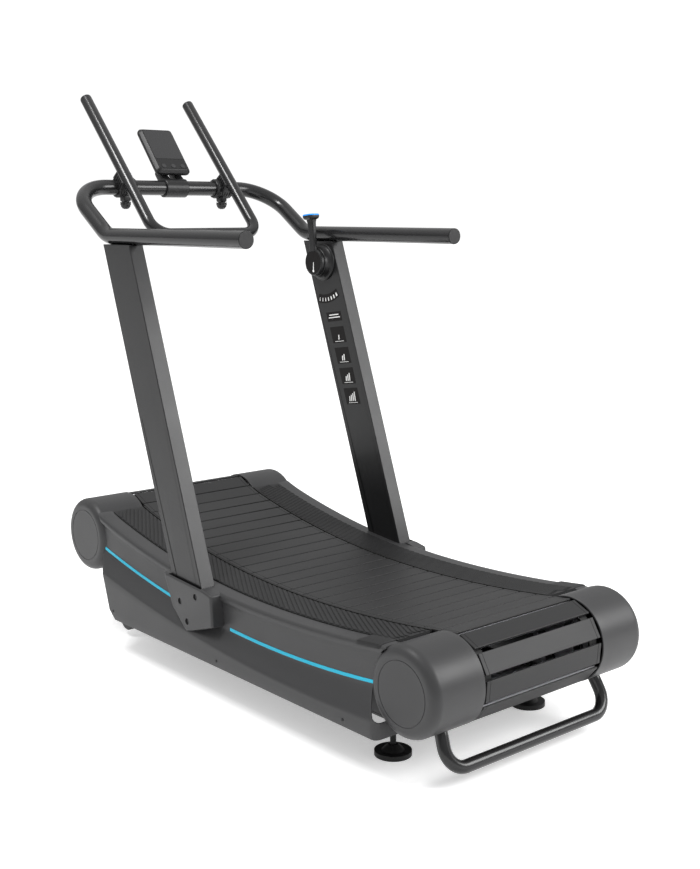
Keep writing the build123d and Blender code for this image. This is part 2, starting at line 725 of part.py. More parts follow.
def handrail(side):
    """Side grip tube on top of the post, bent up towards the crossbar."""
    y = side * HANDRAIL_Y
    return bent_tube([(HANDRAIL_REAR_X - CAP_T, y, HANDRAIL_Z), (HANDRAIL_BEND_X, y, HANDRAIL_Z),
                      (SPLICE[0], y, SPLICE[1])], 95, RAIL_TUBE_R)


crossbar = bent_tube([(SPLICE[0], -HANDRAIL_Y, SPLICE[1]), (CROSSBAR[0], -HANDRAIL_Y, CROSSBAR[1]),
                      (CROSSBAR[0], HANDRAIL_Y, CROSSBAR[1]), (SPLICE[0], HANDRAIL_Y, SPLICE[1])],
                     UPPER_BEND_R, RAIL_TUBE_R)

with BuildPart() as handrail_caps:
    for side in SIDES.values():
        with Locations(Plane(origin=(HANDRAIL_REAR_X - CAP_T, side * HANDRAIL_Y, HANDRAIL_Z),
                             z_dir=(1, 0, 0))):
            Cylinder(RAIL_TUBE_R - 0.5, CAP_T, align=(Align.CENTER, Align.CENTER, Align.MIN))
            Cylinder(RAIL_TUBE_R - TUBE_WALL, 18, align=(Align.CENTER, Align.CENTER, Align.MAX))

PUSH_DIR = unit(PUSH_TOP[0] - PUSH_LOW[0], PUSH_TOP[1] - PUSH_LOW[1])
push_bar = bent_tube([(PUSH_TOP[0], -PUSH_Y, PUSH_TOP[1]), (PUSH_LOW[0], -PUSH_Y, PUSH_LOW[1]),
                      (PUSH_LOW[0], PUSH_Y, PUSH_LOW[1]), (PUSH_TOP[0], PUSH_Y, PUSH_TOP[1])],
                     58, PUSH_R)

with BuildPart() as push_bar_caps:
    for side in SIDES.values():
        with Locations(Plane(origin=(PUSH_TOP[0], side * PUSH_Y, PUSH_TOP[1]),
                             z_dir=(PUSH_DIR[0], 0, PUSH_DIR[1]))):
            Cylinder(PUSH_R - 0.5, CAP_T, align=(Align.CENTER, Align.CENTER, Align.MIN))
            Cylinder(PUSH_R - TUBE_WALL, 18, align=(Align.CENTER, Align.CENTER, Align.MAX))

# ---------------------------------------------------------------- push bar clamps
CLAMP_RING_R = 33.0
CLAMP_HALF = 21.0
ACROSS = (PUSH_DIR[1], -PUSH_DIR[0])          # from the crossbar square to the leg
LEG_OFFSET = ((PUSH_LOW[0] - CROSSBAR[0]) * ACROSS[0] + (PUSH_LOW[1] - CROSSBAR[1]) * ACROSS[1])
LEG_POINT = from_centre(CROSSBAR, LEG_OFFSET, ACROSS)
KNOB_X, KNOB_Y = CROSSBAR[0] + 4, 188.0
KNOB_TOP_Z = CROSSBAR[1] - CLAMP_RING_R - 10
STUD_R = 5.0

with BuildPart() as push_bar_clamps:
    for side in SIDES.values():
        y = side * PUSH_Y
        along_y(*CROSSBAR, CLAMP_RING_R, y - CLAMP_HALF, y + CLAMP_HALF)
        leg = Plane(origin=(LEG_POINT[0], y, LEG_POINT[1]), x_dir=(0, 1, 0),
                    z_dir=(PUSH_DIR[0], 0, PUSH_DIR[1]))
        with Locations(leg):
            Box(2 * CLAMP_HALF, 54, 52)
            Cylinder(PUSH_R, 70, mode=Mode.SUBTRACT)
        with Locations((KNOB_X, side * KNOB_Y, CROSSBAR[1] - CLAMP_RING_R + 2)):
            Cylinder(13, 24)
        along_y(*CROSSBAR, RAIL_TUBE_R + RUN_CLEAR, y - 40, y + 40, mode=Mode.SUBTRACT)
        with Locations((KNOB_X, side * KNOB_Y, KNOB_TOP_Z)):
            Cylinder(STUD_R + RUN_CLEAR, 30, align=(Align.CENTER, Align.CENTER, Align.MIN),
                     mode=Mode.SUBTRACT)


def clamp_knob(side):
    """Wing knob with its stud, under the clamp."""
    with BuildPart() as knob:
        with Locations((KNOB_X, side * KNOB_Y, KNOB_TOP_Z - 0.5)):
            Cylinder(13, 22, align=(Align.CENTER, Align.CENTER, Align.MAX))
            Box(46, 12, 22, align=(Align.CENTER, Align.CENTER, Align.MAX))
            Cylinder(STUD_R, 18, align=(Align.CENTER, Align.CENTER, Align.MIN))
    return knob.part


# ---------------------------------------------------------------- console
CONSOLE_FOOT = (-704.0, 1510.0)               # lower edge of the face, x and z
CONSOLE_HEAD = (-826.0, 1656.0)
CONSOLE_HALF = 66.0
CONSOLE_T = 26.0
CONSOLE_UP = unit(CONSOLE_HEAD[0] - CONSOLE_FOOT[0], CONSOLE_HEAD[1] - CONSOLE_FOOT[1])
CONSOLE_OUT = (CONSOLE_UP[1], -CONSOLE_UP[0])
CONSOLE_TALL = hypot(CONSOLE_HEAD[0] - CONSOLE_FOOT[0], CONSOLE_HEAD[1] - CONSOLE_FOOT[1])
TILT_PIN = (-757.0, 1512.0)
EAR_Y = (12.0, 19.0)


def console_plane(up, sideways=0.0):
    """Plane on the console's face, a distance up from its foot: local Y up, local Z out."""
    x, z = from_centre(CONSOLE_FOOT, up, CONSOLE_UP)
    return Plane(origin=(x, sideways, z), x_dir=(0, 1, 0), z_dir=(CONSOLE_OUT[0], 0, CONSOLE_OUT[1]))


with BuildPart() as console_bracket:
    along_y(*CROSSBAR, RAIL_TUBE_R + 6, -EAR_Y[1], EAR_Y[1])
    with BuildSketch(side_plane(EAR_Y[1])):
        with BuildLine():
            Polyline((-742, 1464), (-700, 1470), (-738, 1500), (TILT_PIN[0] + 10, 1520),
                     (TILT_PIN[0] - 8, 1522), (-772, 1500), close=True)
        make_face()
    extrude(amount=2 * EAR_Y[1])
    cut_between((-800, -728), (-EAR_Y[0], EAR_Y[0]), (1486, 1540))
    along_y(*CROSSBAR, RAIL_TUBE_R, -EAR_Y[1] - 1, EAR_Y[1] + 1, mode=Mode.SUBTRACT)
    along_y(*TILT_PIN, 4, -EAR_Y[1], EAR_Y[1])

SCREEN_SIZE = (108.0, 122.0)
SCREEN_UP = CONSOLE_TALL / 2 + 20
BUTTON_R = 8.0
BUTTON_UP = 22.0
BUTTON_Y = {"start_button": 36.0, "mode_button": 0.0, "stop_button": -36.0}
BUTTON_DEPTH = 7.0

with BuildPart() as console_housing:
    with BuildSketch(console_plane(CONSOLE_TALL / 2)):
        RectangleRounded(2 * CONSOLE_HALF, CONSOLE_TALL, 16)
    extrude(amount=-CONSOLE_T)
    chamfer(console_housing.faces().sort_by(Axis((0, 0, 0), (CONSOLE_OUT[0], 0, CONSOLE_OUT[1])))[-1]
            .edges(), 5)
    with BuildSketch(console_plane(SCREEN_UP)):
        RectangleRounded(*SCREEN_SIZE, 6)
    extrude(amount=-2, mode=Mode.SUBTRACT)
    for y in BUTTON_Y.values():
        with BuildSketch(console_plane(BUTTON_UP, y)):
            Circle(BUTTON_R + 0.4)
        extrude(amount=-BUTTON_DEPTH - 3, mode=Mode.SUBTRACT)
    with BuildSketch(side_plane(EAR_Y[0] - 0.4)):
        with Locations(TILT_PIN):
            Circle(9)
        with BuildLine():
            Polyline((TILT_PIN[0] - 8, TILT_PIN[1] - 4), (TILT_PIN[0] + 4, TILT_PIN[1] - 8),
                     (-738, 1526), (-764, 1545), close=True)
        make_face()
    extrude(amount=2 * (EAR_Y[0] - 0.4))
    along_y(*TILT_PIN, 4 + RUN_CLEAR, -20, 20, mode=Mode.SUBTRACT)

with BuildPart() as console_screen:
    with BuildSketch(console_plane(SCREEN_UP)):
        RectangleRounded(*SCREEN_SIZE, 6)
    extrude(amount=-2)


def console_button(y):
    """Round push button with its stem, standing a little proud of the face."""
    with BuildPart() as button:
        with BuildSketch(console_plane(BUTTON_UP, y).offset(1.5)):
            Circle(BUTTON_R)
        extrude(amount=-BUTTON_DEPTH)
    return button.part


# ---------------------------------------------------------------- resistance lever
HUB_R = 44.0
HUB_Y = (318.0, 330.0)
HOUSING_R = 60.0
ARM_TOP = 140.0
ARM_LEAN = 6.0

with BuildPart() as resistance_housing:
    with BuildSketch(side_plane(POST_Y[0])):
        with Locations(HUB):
            Circle(HOUSING_R)
    extrude(amount=POST_Y[0] - HUB_Y[1] - 1, taper=14)
    along_y(*HUB, 8, HUB_Y[0] + 3, HUB_Y[1] - 1)
    along_y(*HUB, 8, HUB_Y[1] - 2, POST_Y[0])


def arm_plane():
    """Plane through the lever's axis whose local Y runs up the arm."""
    lean = radians(ARM_LEAN)
    return Plane(origin=(HUB[0], HUB_Y[1], HUB[1]), x_dir=(cos(lean), 0, sin(lean)),
                 z_dir=(0, -1, 0))


HEAD_Z = (ARM_TOP, ARM_TOP + 13)
CAP_Z = (ARM_TOP + 13, ARM_TOP + 18)


def head_block(low, high):
    """Add a rounded block across the top of the arm, between two heights."""
    with BuildSketch(arm_plane().offset(-12)) as block:
        with Locations((2, (low + high) / 2)):
            Rectangle(50, high - low)
    extrude(block.sketch, amount=43)


with BuildPart() as resistance_lever:
    with BuildSketch(side_plane(HUB_Y[1])):
        with Locations(HUB):
            Circle(HUB_R)
    extrude(amount=HUB_Y[1] - HUB_Y[0])
    with BuildSketch(arm_plane()):
        with Locations((0, ARM_TOP / 2)):
            Rectangle(28, ARM_TOP)
    extrude(amount=18)
    head_block(*HEAD_Z)
    along_y(*HUB, 8 + RUN_CLEAR, HUB_Y[0] + 2, HUB_Y[1] + 1, mode=Mode.SUBTRACT)

with BuildPart() as lever_cap:
    head_block(*CAP_Z)

brake_cable = bent_tube([(-367, 384, 1193), (-14, 384, 198), (-60, 330, 158), (-470, 330, 158),
                         (-524, 326, 250)], 40, 2.5, wall=0)

# ---------------------------------------------------------------- feet, wheels, lift handle
FOOT_R = 49.0
FOOT_SPOTS = {"front_left_foot": (FRONT_FOOT[0], -FRONT_FOOT[1]),
              "front_right_foot": (FRONT_FOOT[0], FRONT_FOOT[1]),
              "rear_left_foot": (REAR_FOOT[0], -REAR_FOOT[1]),
              "rear_right_foot": (REAR_FOOT[0], REAR_FOOT[1])}
STEM_TOP_Z = 148.0
NUT_Z = (105.0, 117.0)


def levelling_foot(x, y):
    """Round rubber-faced foot on its threaded stem."""
    with BuildPart() as foot:
        with Locations((x, y, 0)):
            Cylinder(FOOT_R, 13, align=(Align.CENTER, Align.CENTER, Align.MIN))
            Cylinder(STEM_R, STEM_TOP_Z, align=(Align.CENTER, Align.CENTER, Align.MIN))
            with Locations((0, 0, 13)):
                Cone(30, 14, 16, align=(Align.CENTER, Align.CENTER, Align.MIN))
    return foot.part


with BuildPart() as foot_lock_nuts:
    for x, y in FOOT_SPOTS.values():
        with BuildSketch(Plane.XY.offset(NUT_Z[0])):
            with Locations((x, y)):
                RegularPolygon(15, 6)
                Circle(STEM_R + RUN_CLEAR, mode=Mode.SUBTRACT)
        extrude(amount=NUT_Z[1] - NUT_Z[0])

WHEEL = (-598.0, 60.0)
WHEEL_R = 38.0
WHEEL_Y = (273.0, 301.0)
WHEEL_AXLE_R = 6.0


def transport_wheel(side):
    """Plastic transport wheel."""
    with BuildPart() as wheel:
        along_y(*WHEEL, WHEEL_R, *span(side, *WHEEL_Y))
        outer = wheel.edges().filter_by(GeomType.CIRCLE)
        fillet(outer, 3)
        along_y(*WHEEL, WHEEL_AXLE_R + RUN_CLEAR, *span(side, 260, 310), mode=Mode.SUBTRACT)
    return wheel.part


with BuildPart() as wheel_brackets:
    for side in SIDES.values():
        for inner, outer in ((267.0, 271.0), (303.0, 307.0)):
            with BuildSketch(side_plane(span(side, inner, outer)[1])):
                with BuildLine():
                    Polyline((RAIL_X[0], RAIL_Z[0]), (RAIL_X[0], RAIL_Z[1] - 10), (-590, 120),
                             (-616, 62), (-600, 42), (-580, 48), close=True)
                make_face()
            extrude(amount=outer - inner)
        along_y(*WHEEL, WHEEL_AXLE_R, *span(side, 267, 307))

HANDLE_R = 17.0
HANDLE_Y = (RAIL_Y[0] + RAIL_Y[1]) / 2
HANDLE_BAR = (902.0, 305.0, 48.0)    # outer corner of the bar, x, y, z
BAR_X, BAR_Y, BAR_Z = HANDLE_BAR
lift_handle = bent_tube([(750, -HANDLE_Y, 155), (850, -HANDLE_Y, 155), (BAR_X, -BAR_Y, BAR_Z),
                         (BAR_X, BAR_Y, BAR_Z), (850, HANDLE_Y, 155), (750, HANDLE_Y, 155)],
                        [50, 52, 52, 50], HANDLE_R)

SCREW_SPOTS = [(-478.0, 140.0), (90.0, 132.0), (640.0, 132.0)]
with BuildPart() as cover_screws:
    for side in SIDES.values():
        for x, z in SCREW_SPOTS:
            along_y(x, z, 4, *span(side, SKIRT_Y[1], SKIRT_Y[1] + 1.5))

# ---------------------------------------------------------------- the kept pieces
NODES = {
    "cross_members": cross_members.part,
    "belt_treads": belt_treads.part,
    "belt_bars": belt_bars.part,
    "carrier_belts": carrier_belts.part,
    "roller_bolts": roller_bolts.part,
    "front_axle": axle(FRONT_AXLE, AXLE_HALF["front"]),
    "rear_axle": axle(REAR_AXLE, AXLE_HALF["rear"]),
    "front_pulleys": pulleys(FRONT_AXLE),
    "rear_pulleys": pulleys(REAR_AXLE),
    "bearing_blocks": both(bearing_blocks),
    "brake_disc": brake_disc.part,
    "tension_screws": tension_screws.part,
    "yoke_pivot": yoke_pivot.part,
    "magnet_yoke": magnet_yoke.part,
    "brake_magnets": brake_magnets.part,
    "brake_cable": brake_cable,
    "belt_seals": belt_seals.part,
    "trim_stripes": trim_stripes.part,
    "post_bolts": post_bolts.part,
    "post_brackets": post_brackets.part,
    "crossbar": crossbar,
    "handrail_caps": handrail_caps.part,
    "push_bar": push_bar,
    "push_bar_caps": push_bar_caps.part,
    "push_bar_clamps": push_bar_clamps.part,
    "console_bracket": console_bracket.part,
    "console_housing": console_housing.part,
    "console_screen": console_screen.part,
    "resistance_housing": resistance_housing.part,
    "resistance_lever": resistance_lever.part,
    "lever_cap": lever_cap.part,
    "foot_lock_nuts": foot_lock_nuts.part,
    "wheel_brackets": wheel_brackets.part,
    "lift_handle": lift_handle,
    "cover_screws": cover_screws.part,
    "base_rails": both(base_rail),
    "guide_rollers": both(guide_rollers),
    "front_cowls": both(cowl, FRONT_AXLE, FRONT_OPEN),
    "rear_cowls": both(cowl, REAR_AXLE, REAR_OPEN),
    "foot_pads": both(foot_pad),
    "post_boots": both(post_boot),
}
for name, side in SIDES.items():
    NODES[name + "_frame_plate"] = frame_plate(side)
    NODES[name + "_side_cover"] = side_cover(side)
    NODES[name + "_post"] = post(side)
    NODES[name + "_handrail"] = handrail(side)
    NODES[name + "_clamp_knob"] = clamp_knob(side)
    NODES[name + "_transport_wheel"] = transport_wheel(side)
for name, y in BUTTON_Y.items():
    NODES[name] = console_button(y)
for name, (x, y) in FOOT_SPOTS.items():
    NODES[name] = levelling_foot(x, y)

for name, piece in NODES.items():
    piece.label = name
    export_step(piece, f"parts/{name}.step")
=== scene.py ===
"""Looks of the curved manual treadmill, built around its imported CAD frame, in metres."""
import json
import math

import bmesh
import bpy
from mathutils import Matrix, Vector


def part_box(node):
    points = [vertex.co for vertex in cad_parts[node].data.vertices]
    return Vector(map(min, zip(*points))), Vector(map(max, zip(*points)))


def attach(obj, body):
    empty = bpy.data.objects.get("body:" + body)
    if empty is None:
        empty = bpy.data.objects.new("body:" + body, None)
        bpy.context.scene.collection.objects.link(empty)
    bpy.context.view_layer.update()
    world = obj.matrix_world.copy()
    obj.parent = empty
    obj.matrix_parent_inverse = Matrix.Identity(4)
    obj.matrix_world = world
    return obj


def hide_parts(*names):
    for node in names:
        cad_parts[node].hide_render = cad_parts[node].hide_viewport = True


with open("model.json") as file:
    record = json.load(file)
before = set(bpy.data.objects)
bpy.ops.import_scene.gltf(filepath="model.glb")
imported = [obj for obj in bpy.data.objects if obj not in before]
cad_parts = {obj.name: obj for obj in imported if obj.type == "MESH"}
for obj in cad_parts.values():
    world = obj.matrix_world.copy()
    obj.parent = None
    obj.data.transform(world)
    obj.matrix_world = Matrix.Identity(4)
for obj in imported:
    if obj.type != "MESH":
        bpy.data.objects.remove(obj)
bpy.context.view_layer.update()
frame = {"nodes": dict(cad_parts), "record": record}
NODES = frame["nodes"]
STATIC = "frame"                     # the body that stands on the floor
SIDES = {"left": -1, "right": 1}

# ---------------------------------------------------------------- driving sizes
DRUM_R = 0.113                       # outer face of a slat on a drum
LOW = (0.222, 0.3185)                # lowest point of the running surface, x and z
FRONT_RUN_R = 3.190
LIP_X = -0.540
RIM_Y = 0.388
PANEL_Y = 0.380
SKIRT_Y = 0.418
SKIRT_BOTTOM = 0.113
COWL_R = 0.117
COWL_END_Y = 0.392
COWL_ROUND = 0.026


def middle(node):
    """Centre of a CAD node's box."""
    low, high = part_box(node)
    return (low + high) / 2


FRONT_AXLE = middle("front_axle")
REAR_AXLE = middle("rear_axle")


# ---------------------------------------------------------------- running surface
def curve_radius(dx, dz):
    """Radius of the arc that leaves the low point level and is tangent to a drum."""
    return (dx ** 2 + dz ** 2 - DRUM_R ** 2) / (2 * (DRUM_R - dz))


REAR_RUN_R = curve_radius(REAR_AXLE.x - LOW[0], LOW[1] - REAR_AXLE.z)
LIP_ANGLE = math.asin((LOW[0] - LIP_X) / FRONT_RUN_R)
LIP_Z = LOW[1] + FRONT_RUN_R * (1 - math.cos(LIP_ANGLE))
LIP_DX = LIP_X - FRONT_AXLE.x
LIP_DZ = LIP_Z - FRONT_AXLE.z
LIP_R = (LIP_DX ** 2 + LIP_DZ ** 2 - DRUM_R ** 2) / (
    2 * (DRUM_R - LIP_DX * math.sin(LIP_ANGLE) - LIP_DZ * math.cos(LIP_ANGLE)))
LIP_CENTRE = (LIP_X + LIP_R * math.sin(LIP_ANGLE), LIP_Z + LIP_R * math.cos(LIP_ANGLE))


def run_height(x):
    """Height of the running surface."""
    if x < LIP_X:
        return LIP_CENTRE[1] - math.sqrt(LIP_R ** 2 - (x - LIP_CENTRE[0]) ** 2)
    radius = FRONT_RUN_R if x < LOW[0] else REAR_RUN_R
    return LOW[1] + radius - math.sqrt(radius ** 2 - (x - LOW[0]) ** 2)


def below_run(x, depth):
    """A point (x, z) at a depth below the running surface, measured square to it."""
    step = 0.002
    slope = (run_height(x + step) - run_height(x - step)) / (2 * step)
    length = math.hypot(1, slope)
    return x + depth * slope / length, run_height(x) - depth / length


def arc_z(points, x):
    """Height at x of the gentle arc through three points."""
    (x1, z1), (x2, z2), (x3, z3) = points
    first = (x - x2) * (x - x3) / ((x1 - x2) * (x1 - x3)) * z1
    second = (x - x1) * (x - x3) / ((x2 - x1) * (x2 - x3)) * z2
    third = (x - x1) * (x - x2) / ((x3 - x1) * (x3 - x2)) * z3
    return first + second + third


# ---------------------------------------------------------------- materials
def link(tree, source, target):
    tree.links.new(source, target)


def surface(name, colour, rough, metallic=0.0, coat=0.0, grain=(900.0, 0.00012),
            mottle=0.12, edge=0.35, stretch=(1.0, 1.0, 1.0), specular=0.28):
    """A worn, grained finish: colour drift, roughness drift, fine bump and lighter edges."""
    material = bpy.data.materials.new(name)
    material.use_nodes = True
    tree = material.node_tree
    shader = tree.nodes["Principled BSDF"]
    shader.inputs["Metallic"].default_value = metallic
    shader.inputs["Coat Weight"].default_value = coat
    shader.inputs["Coat Roughness"].default_value = 0.12
    shader.inputs["Specular IOR Level"].default_value = specular
    place = tree.nodes.new("ShaderNodeTexCoord")
    scale = tree.nodes.new("ShaderNodeMapping")
    scale.inputs["Scale"].default_value = stretch
    link(tree, place.outputs["Object"], scale.inputs["Vector"])

    drift = tree.nodes.new("ShaderNodeTexNoise")
    drift.inputs["Scale"].default_value = 9.0
    drift.inputs["Detail"].default_value = 6.0
    link(tree, scale.outputs["Vector"], drift.inputs["Vector"])
    tint = tree.nodes.new("ShaderNodeMix")
    tint.data_type = "RGBA"
    tint.inputs["A"].default_value = [c * (1 - mottle) for c in colour] + [1]
    tint.inputs["B"].default_value = [min(1, c * (1 + mottle)) for c in colour] + [1]
    link(tree, drift.outputs["Fac"], tint.inputs["Factor"])

    wear = tree.nodes.new("ShaderNodeNewGeometry")
    wear_range = tree.nodes.new("ShaderNodeMapRange")
    wear_range.inputs["From Min"].default_value = 0.52
    wear_range.inputs["From Max"].default_value = 0.62
    wear_range.inputs["To Max"].default_value = edge
    link(tree, wear.outputs["Pointiness"], wear_range.inputs["Value"])
    worn = tree.nodes.new("ShaderNodeMix")
    worn.data_type = "RGBA"
    worn.inputs["B"].default_value = [min(1, c * 1.6 + 0.02) for c in colour] + [1]
    link(tree, wear_range.outputs["Result"], worn.inputs["Factor"])
    link(tree, tint.outputs["Result"], worn.inputs["A"])
    link(tree, worn.outputs["Result"], shader.inputs["Base Color"])

    rough_range = tree.nodes.new("ShaderNodeMapRange")
    rough_range.inputs["To Min"].default_value = max(0.02, rough - 0.07)
    rough_range.inputs["To Max"].default_value = min(1.0, rough + 0.07)
    link(tree, drift.outputs["Fac"], rough_range.inputs["Value"])
    link(tree, rough_range.outputs["Result"], shader.inputs["Roughness"])

    fine = tree.nodes.new("ShaderNodeTexNoise")
    fine.inputs["Scale"].default_value = grain[0]
    fine.inputs["Detail"].default_value = 3.0
    link(tree, scale.outputs["Vector"], fine.inputs["Vector"])
    bump = tree.nodes.new("ShaderNodeBump")
    bump.inputs["Distance"].default_value = grain[1]
    bump.inputs["Strength"].default_value = 0.7
    link(tree, fine.outputs["Fac"], bump.inputs["Height"])
    link(tree, bump.outputs["Normal"], shader.inputs["Normal"])
    return material


FINISH = {
    "painted_frame": surface("frame_powder_coat", (0.022, 0.022, 0.023), 0.42,
                             grain=(700.0, 0.0002)),
    "post_paint": surface("post_powder_coat", (0.010, 0.010, 0.0105), 0.36, coat=0.1,
                          grain=(700.0, 0.00016)),
    "tube_paint": surface("tube_lacquer", (0.012, 0.012, 0.0125), 0.24, coat=0.15,
                          grain=(500.0, 0.000002), mottle=0.06, edge=0.1),
    "cover_plastic": surface("cover_moulded", (0.036, 0.036, 0.037), 0.42,
                             grain=(1600.0, 0.0001), mottle=0.05),
    "pad_rubber": surface("pad_moulded_rubber", (0.011, 0.011, 0.0115), 0.55,
                          grain=(1800.0, 0.00015)),
    "belt_rubber": surface("slat_rubber", (0.013, 0.013, 0.0135), 0.50,
                           grain=(1200.0, 0.00015), stretch=(1.0, 0.25, 1.0)),
    "black_rubber": surface("black_rubber", (0.007, 0.007, 0.007), 0.55,
                            grain=(1500.0, 0.0001), edge=0.15),
    "black_plastic": surface("black_plastic", (0.010, 0.010, 0.0105), 0.38,
                             grain=(1500.0, 0.0001), edge=0.2),
    "bar_aluminium": surface("brushed_aluminium", (0.50, 0.50, 0.52), 0.34, metallic=1.0,
                             grain=(260.0, 0.00005), stretch=(1.0, 0.04, 1.0)),
    "bright_steel": surface("ground_steel", (0.42, 0.42, 0.43), 0.30, metallic=1.0,
                            grain=(300.0, 0.00005), stretch=(1.0, 0.08, 1.0)),
    "black_steel": surface("black_oxide_steel", (0.014, 0.014, 0.015), 0.36, metallic=0.6,
                           grain=(900.0, 0.00005)),
    "magnet": surface("nickel_plate", (0.6, 0.6, 0.58), 0.2, metallic=1.0,
                      grain=(900.0, 0.00002)),
    "teal_trim": surface("teal_insert", (0.0, 0.36, 0.52), 0.35, mottle=0.04, edge=0.1,
                         grain=(1500.0, 0.00005)),
    "blue_cap": surface("blue_soft_cap", (0.02, 0.27, 0.80), 0.45, mottle=0.05, edge=0.1,
                        grain=(1500.0, 0.0001)),
    "screen": surface("screen_window", (0.006, 0.006, 0.007), 0.08, coat=0.6, edge=0.0,
                      grain=(400.0, 0.000005)),
    "button_rubber": surface("silicone_key", (0.030, 0.030, 0.031), 0.55, edge=0.1,
                             grain=(1800.0, 0.00008)),
}
PRINT = surface("white_print", (0.75, 0.75, 0.74), 0.5, mottle=0.03, edge=0.0,
                grain=(1500.0, 0.00001))


# ---------------------------------------------------------------- mesh tools
def piece(name, bm, slot, body=STATIC, material=None, smooth=35, flat=False):
    """Turn a bmesh into an object of the treadmill that rides on a CAD body."""
    bmesh.ops.remove_doubles(bm, verts=bm.verts, dist=1e-6)
    bmesh.ops.recalc_face_normals(bm, faces=bm.faces)
    mesh = bpy.data.meshes.new(name)
    bm.to_mesh(mesh)
    bm.free()
    obj = bpy.data.objects.new(name, mesh)
    bpy.context.scene.collection.objects.link(obj)
    mesh.materials.append(material or FINISH[slot])
    mesh.shade_smooth()
    mesh.set_sharp_from_angle(angle=math.radians(smooth))
    if flat:
        flatten(obj)
    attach(obj, body)
    return obj


def flatten(obj):
    """Let the broad faces of an object with rounded edges stay flat in the shading."""
    weighted = obj.modifiers.new("weighted", "WEIGHTED_NORMAL")
    weighted.keep_sharp = True


def skin(bm, rows, close_rows=False, close_row=False):
    """Join rows of points into quads."""
    made = [[bm.verts.new(p) for p in row] for row in rows]
    pairs = list(zip(made, made[1:]))
    if close_rows:
        pairs.append((made[-1], made[0]))
    for first, second in pairs:
        count = len(first)
        for i in range(count if close_row else count - 1):
            j = (i + 1) % count
            bm.faces.new((first[i], first[j], second[j], second[i]))
    return made


def cap(bm, ring):
    bm.faces.new(ring)


def islands(node):
    """The separate solids of a CAD node, each as a list of its corners."""
    bm = bmesh.new()
    bm.from_mesh(NODES[node].data)
    bmesh.ops.remove_doubles(bm, verts=bm.verts, dist=1e-5)
    seen = set()
    groups = []
    for start in bm.verts:           # in mesh order, so that every run is the same
        if start in seen:
            continue
        seen.add(start)
        stack = [start]
        group = []
        while stack:
            vert = stack.pop()
            group.append(vert.co.copy())
            for edge in vert.link_edges:
                other = edge.other_vert(vert)
                if other not in seen:
                    seen.add(other)
                    stack.append(other)
        groups.append(group)
    bm.free()
    return groups


def rounded_box_section(half_x, half_z, corner, steps=3):
    """Outline of a rectangle with round corners, about its centre."""
    points = []
    for sx, sz, start in ((1, 1, 0), (-1, 1, 90), (-1, -1, 180), (1, -1, 270)):
        for k in range(steps + 1):
            turn = math.radians(start + 90 * k / steps)
            points.append((sx * (half_x - corner) + corner * math.cos(turn),
                           sz * (half_z - corner) + corner * math.sin(turn)))
    return points


# ---------------------------------------------------------------- CAD nodes that stay
def dress_cad():
    """Give every CAD node the finish of its material slot."""
    slots = {part["node"]: part["material_slot"] for part in frame["record"]["subparts"]}
    for name, obj in NODES.items():
        obj.data.materials.clear()
        obj.data.materials.append(FINISH[slots[name]])


def soften(node, width, segments=2, angle=40):
    """Round a CAD node's sharp edges a little, without moving its faces."""
    obj = NODES[node]
    weld = obj.modifiers.new("weld", "WELD")
    weld.merge_threshold = 1e-5
    bevel = obj.modifiers.new("bevel", "BEVEL")
    bevel.width = width
    bevel.segments = segments
    bevel.limit_method = "ANGLE"
    bevel.angle_limit = math.radians(angle)
    bevel.harden_normals = True


dress_cad()

# ---------------------------------------------------------------- slat belt
SLAT_HALF = (0.028, 0.003)           # half length along the run, half thickness
SLAT_ENDS = ((0.2160, 0.0009), (0.2150, 0.0), (0.2048, 0.0), (0.2044, 0.0008),
             (0.2036, 0.0008), (0.2032, 0.0))   # distance from the middle, inset


def slat_axes(corners):
    """Centre, direction along the run and outward direction of one slat."""
    centre = sum(corners, Vector()) / len(corners)
    xx = sum((c.x - centre.x) ** 2 for c in corners)
    zz = sum((c.z - centre.z) ** 2 for c in corners)
    xz = sum((c.x - centre.x) * (c.z - centre.z) for c in corners)
    turn = 0.5 * math.atan2(2 * xz, xx - zz)
    along = Vector((math.cos(turn), 0, math.sin(turn)))
    spine = REAR_AXLE - FRONT_AXLE
    share = (centre - FRONT_AXLE).dot(spine) / spine.length_squared
    nearest = FRONT_AXLE + spine * min(1, max(0, share))
    outward = Vector((-along.z, 0, along.x))
    if outward.dot(centre - nearest) < 0:
        outward.negate()
    return centre, along, outward


def add_slats():
    bm = bmesh.new()
    outline = rounded_box_section(*SLAT_HALF, 0.0018)
    stations = [(-y, inset) for y, inset in SLAT_ENDS]
    stations += [(y, inset) for y, inset in reversed(SLAT_ENDS)]
    for corners in islands("belt_treads"):
        centre, along, outward = slat_axes(corners)
        rows = []
        for y, inset in stations:
            rows.append([])
            for u, v in outline:
                u -= math.copysign(inset, u)
                v -= math.copysign(inset, v)
                point = centre + along * u + outward * v
                rows[-1].append((point.x, y, point.z))
        rings = skin(bm, rows, close_row=True)
        cap(bm, rings[0])
        cap(bm, rings[-1])
    slats = piece("belt_slats", bm, "belt_rubber", smooth=50, flat=True)
    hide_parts("belt_treads")


# ---------------------------------------------------------------- foot pads
PAD_X = (-0.596, 0.752)
PAD_STEPS = 110
RIB_PITCH = 0.0235
RIB_SLANT = 1.65                     # run along X for each unit across the pad


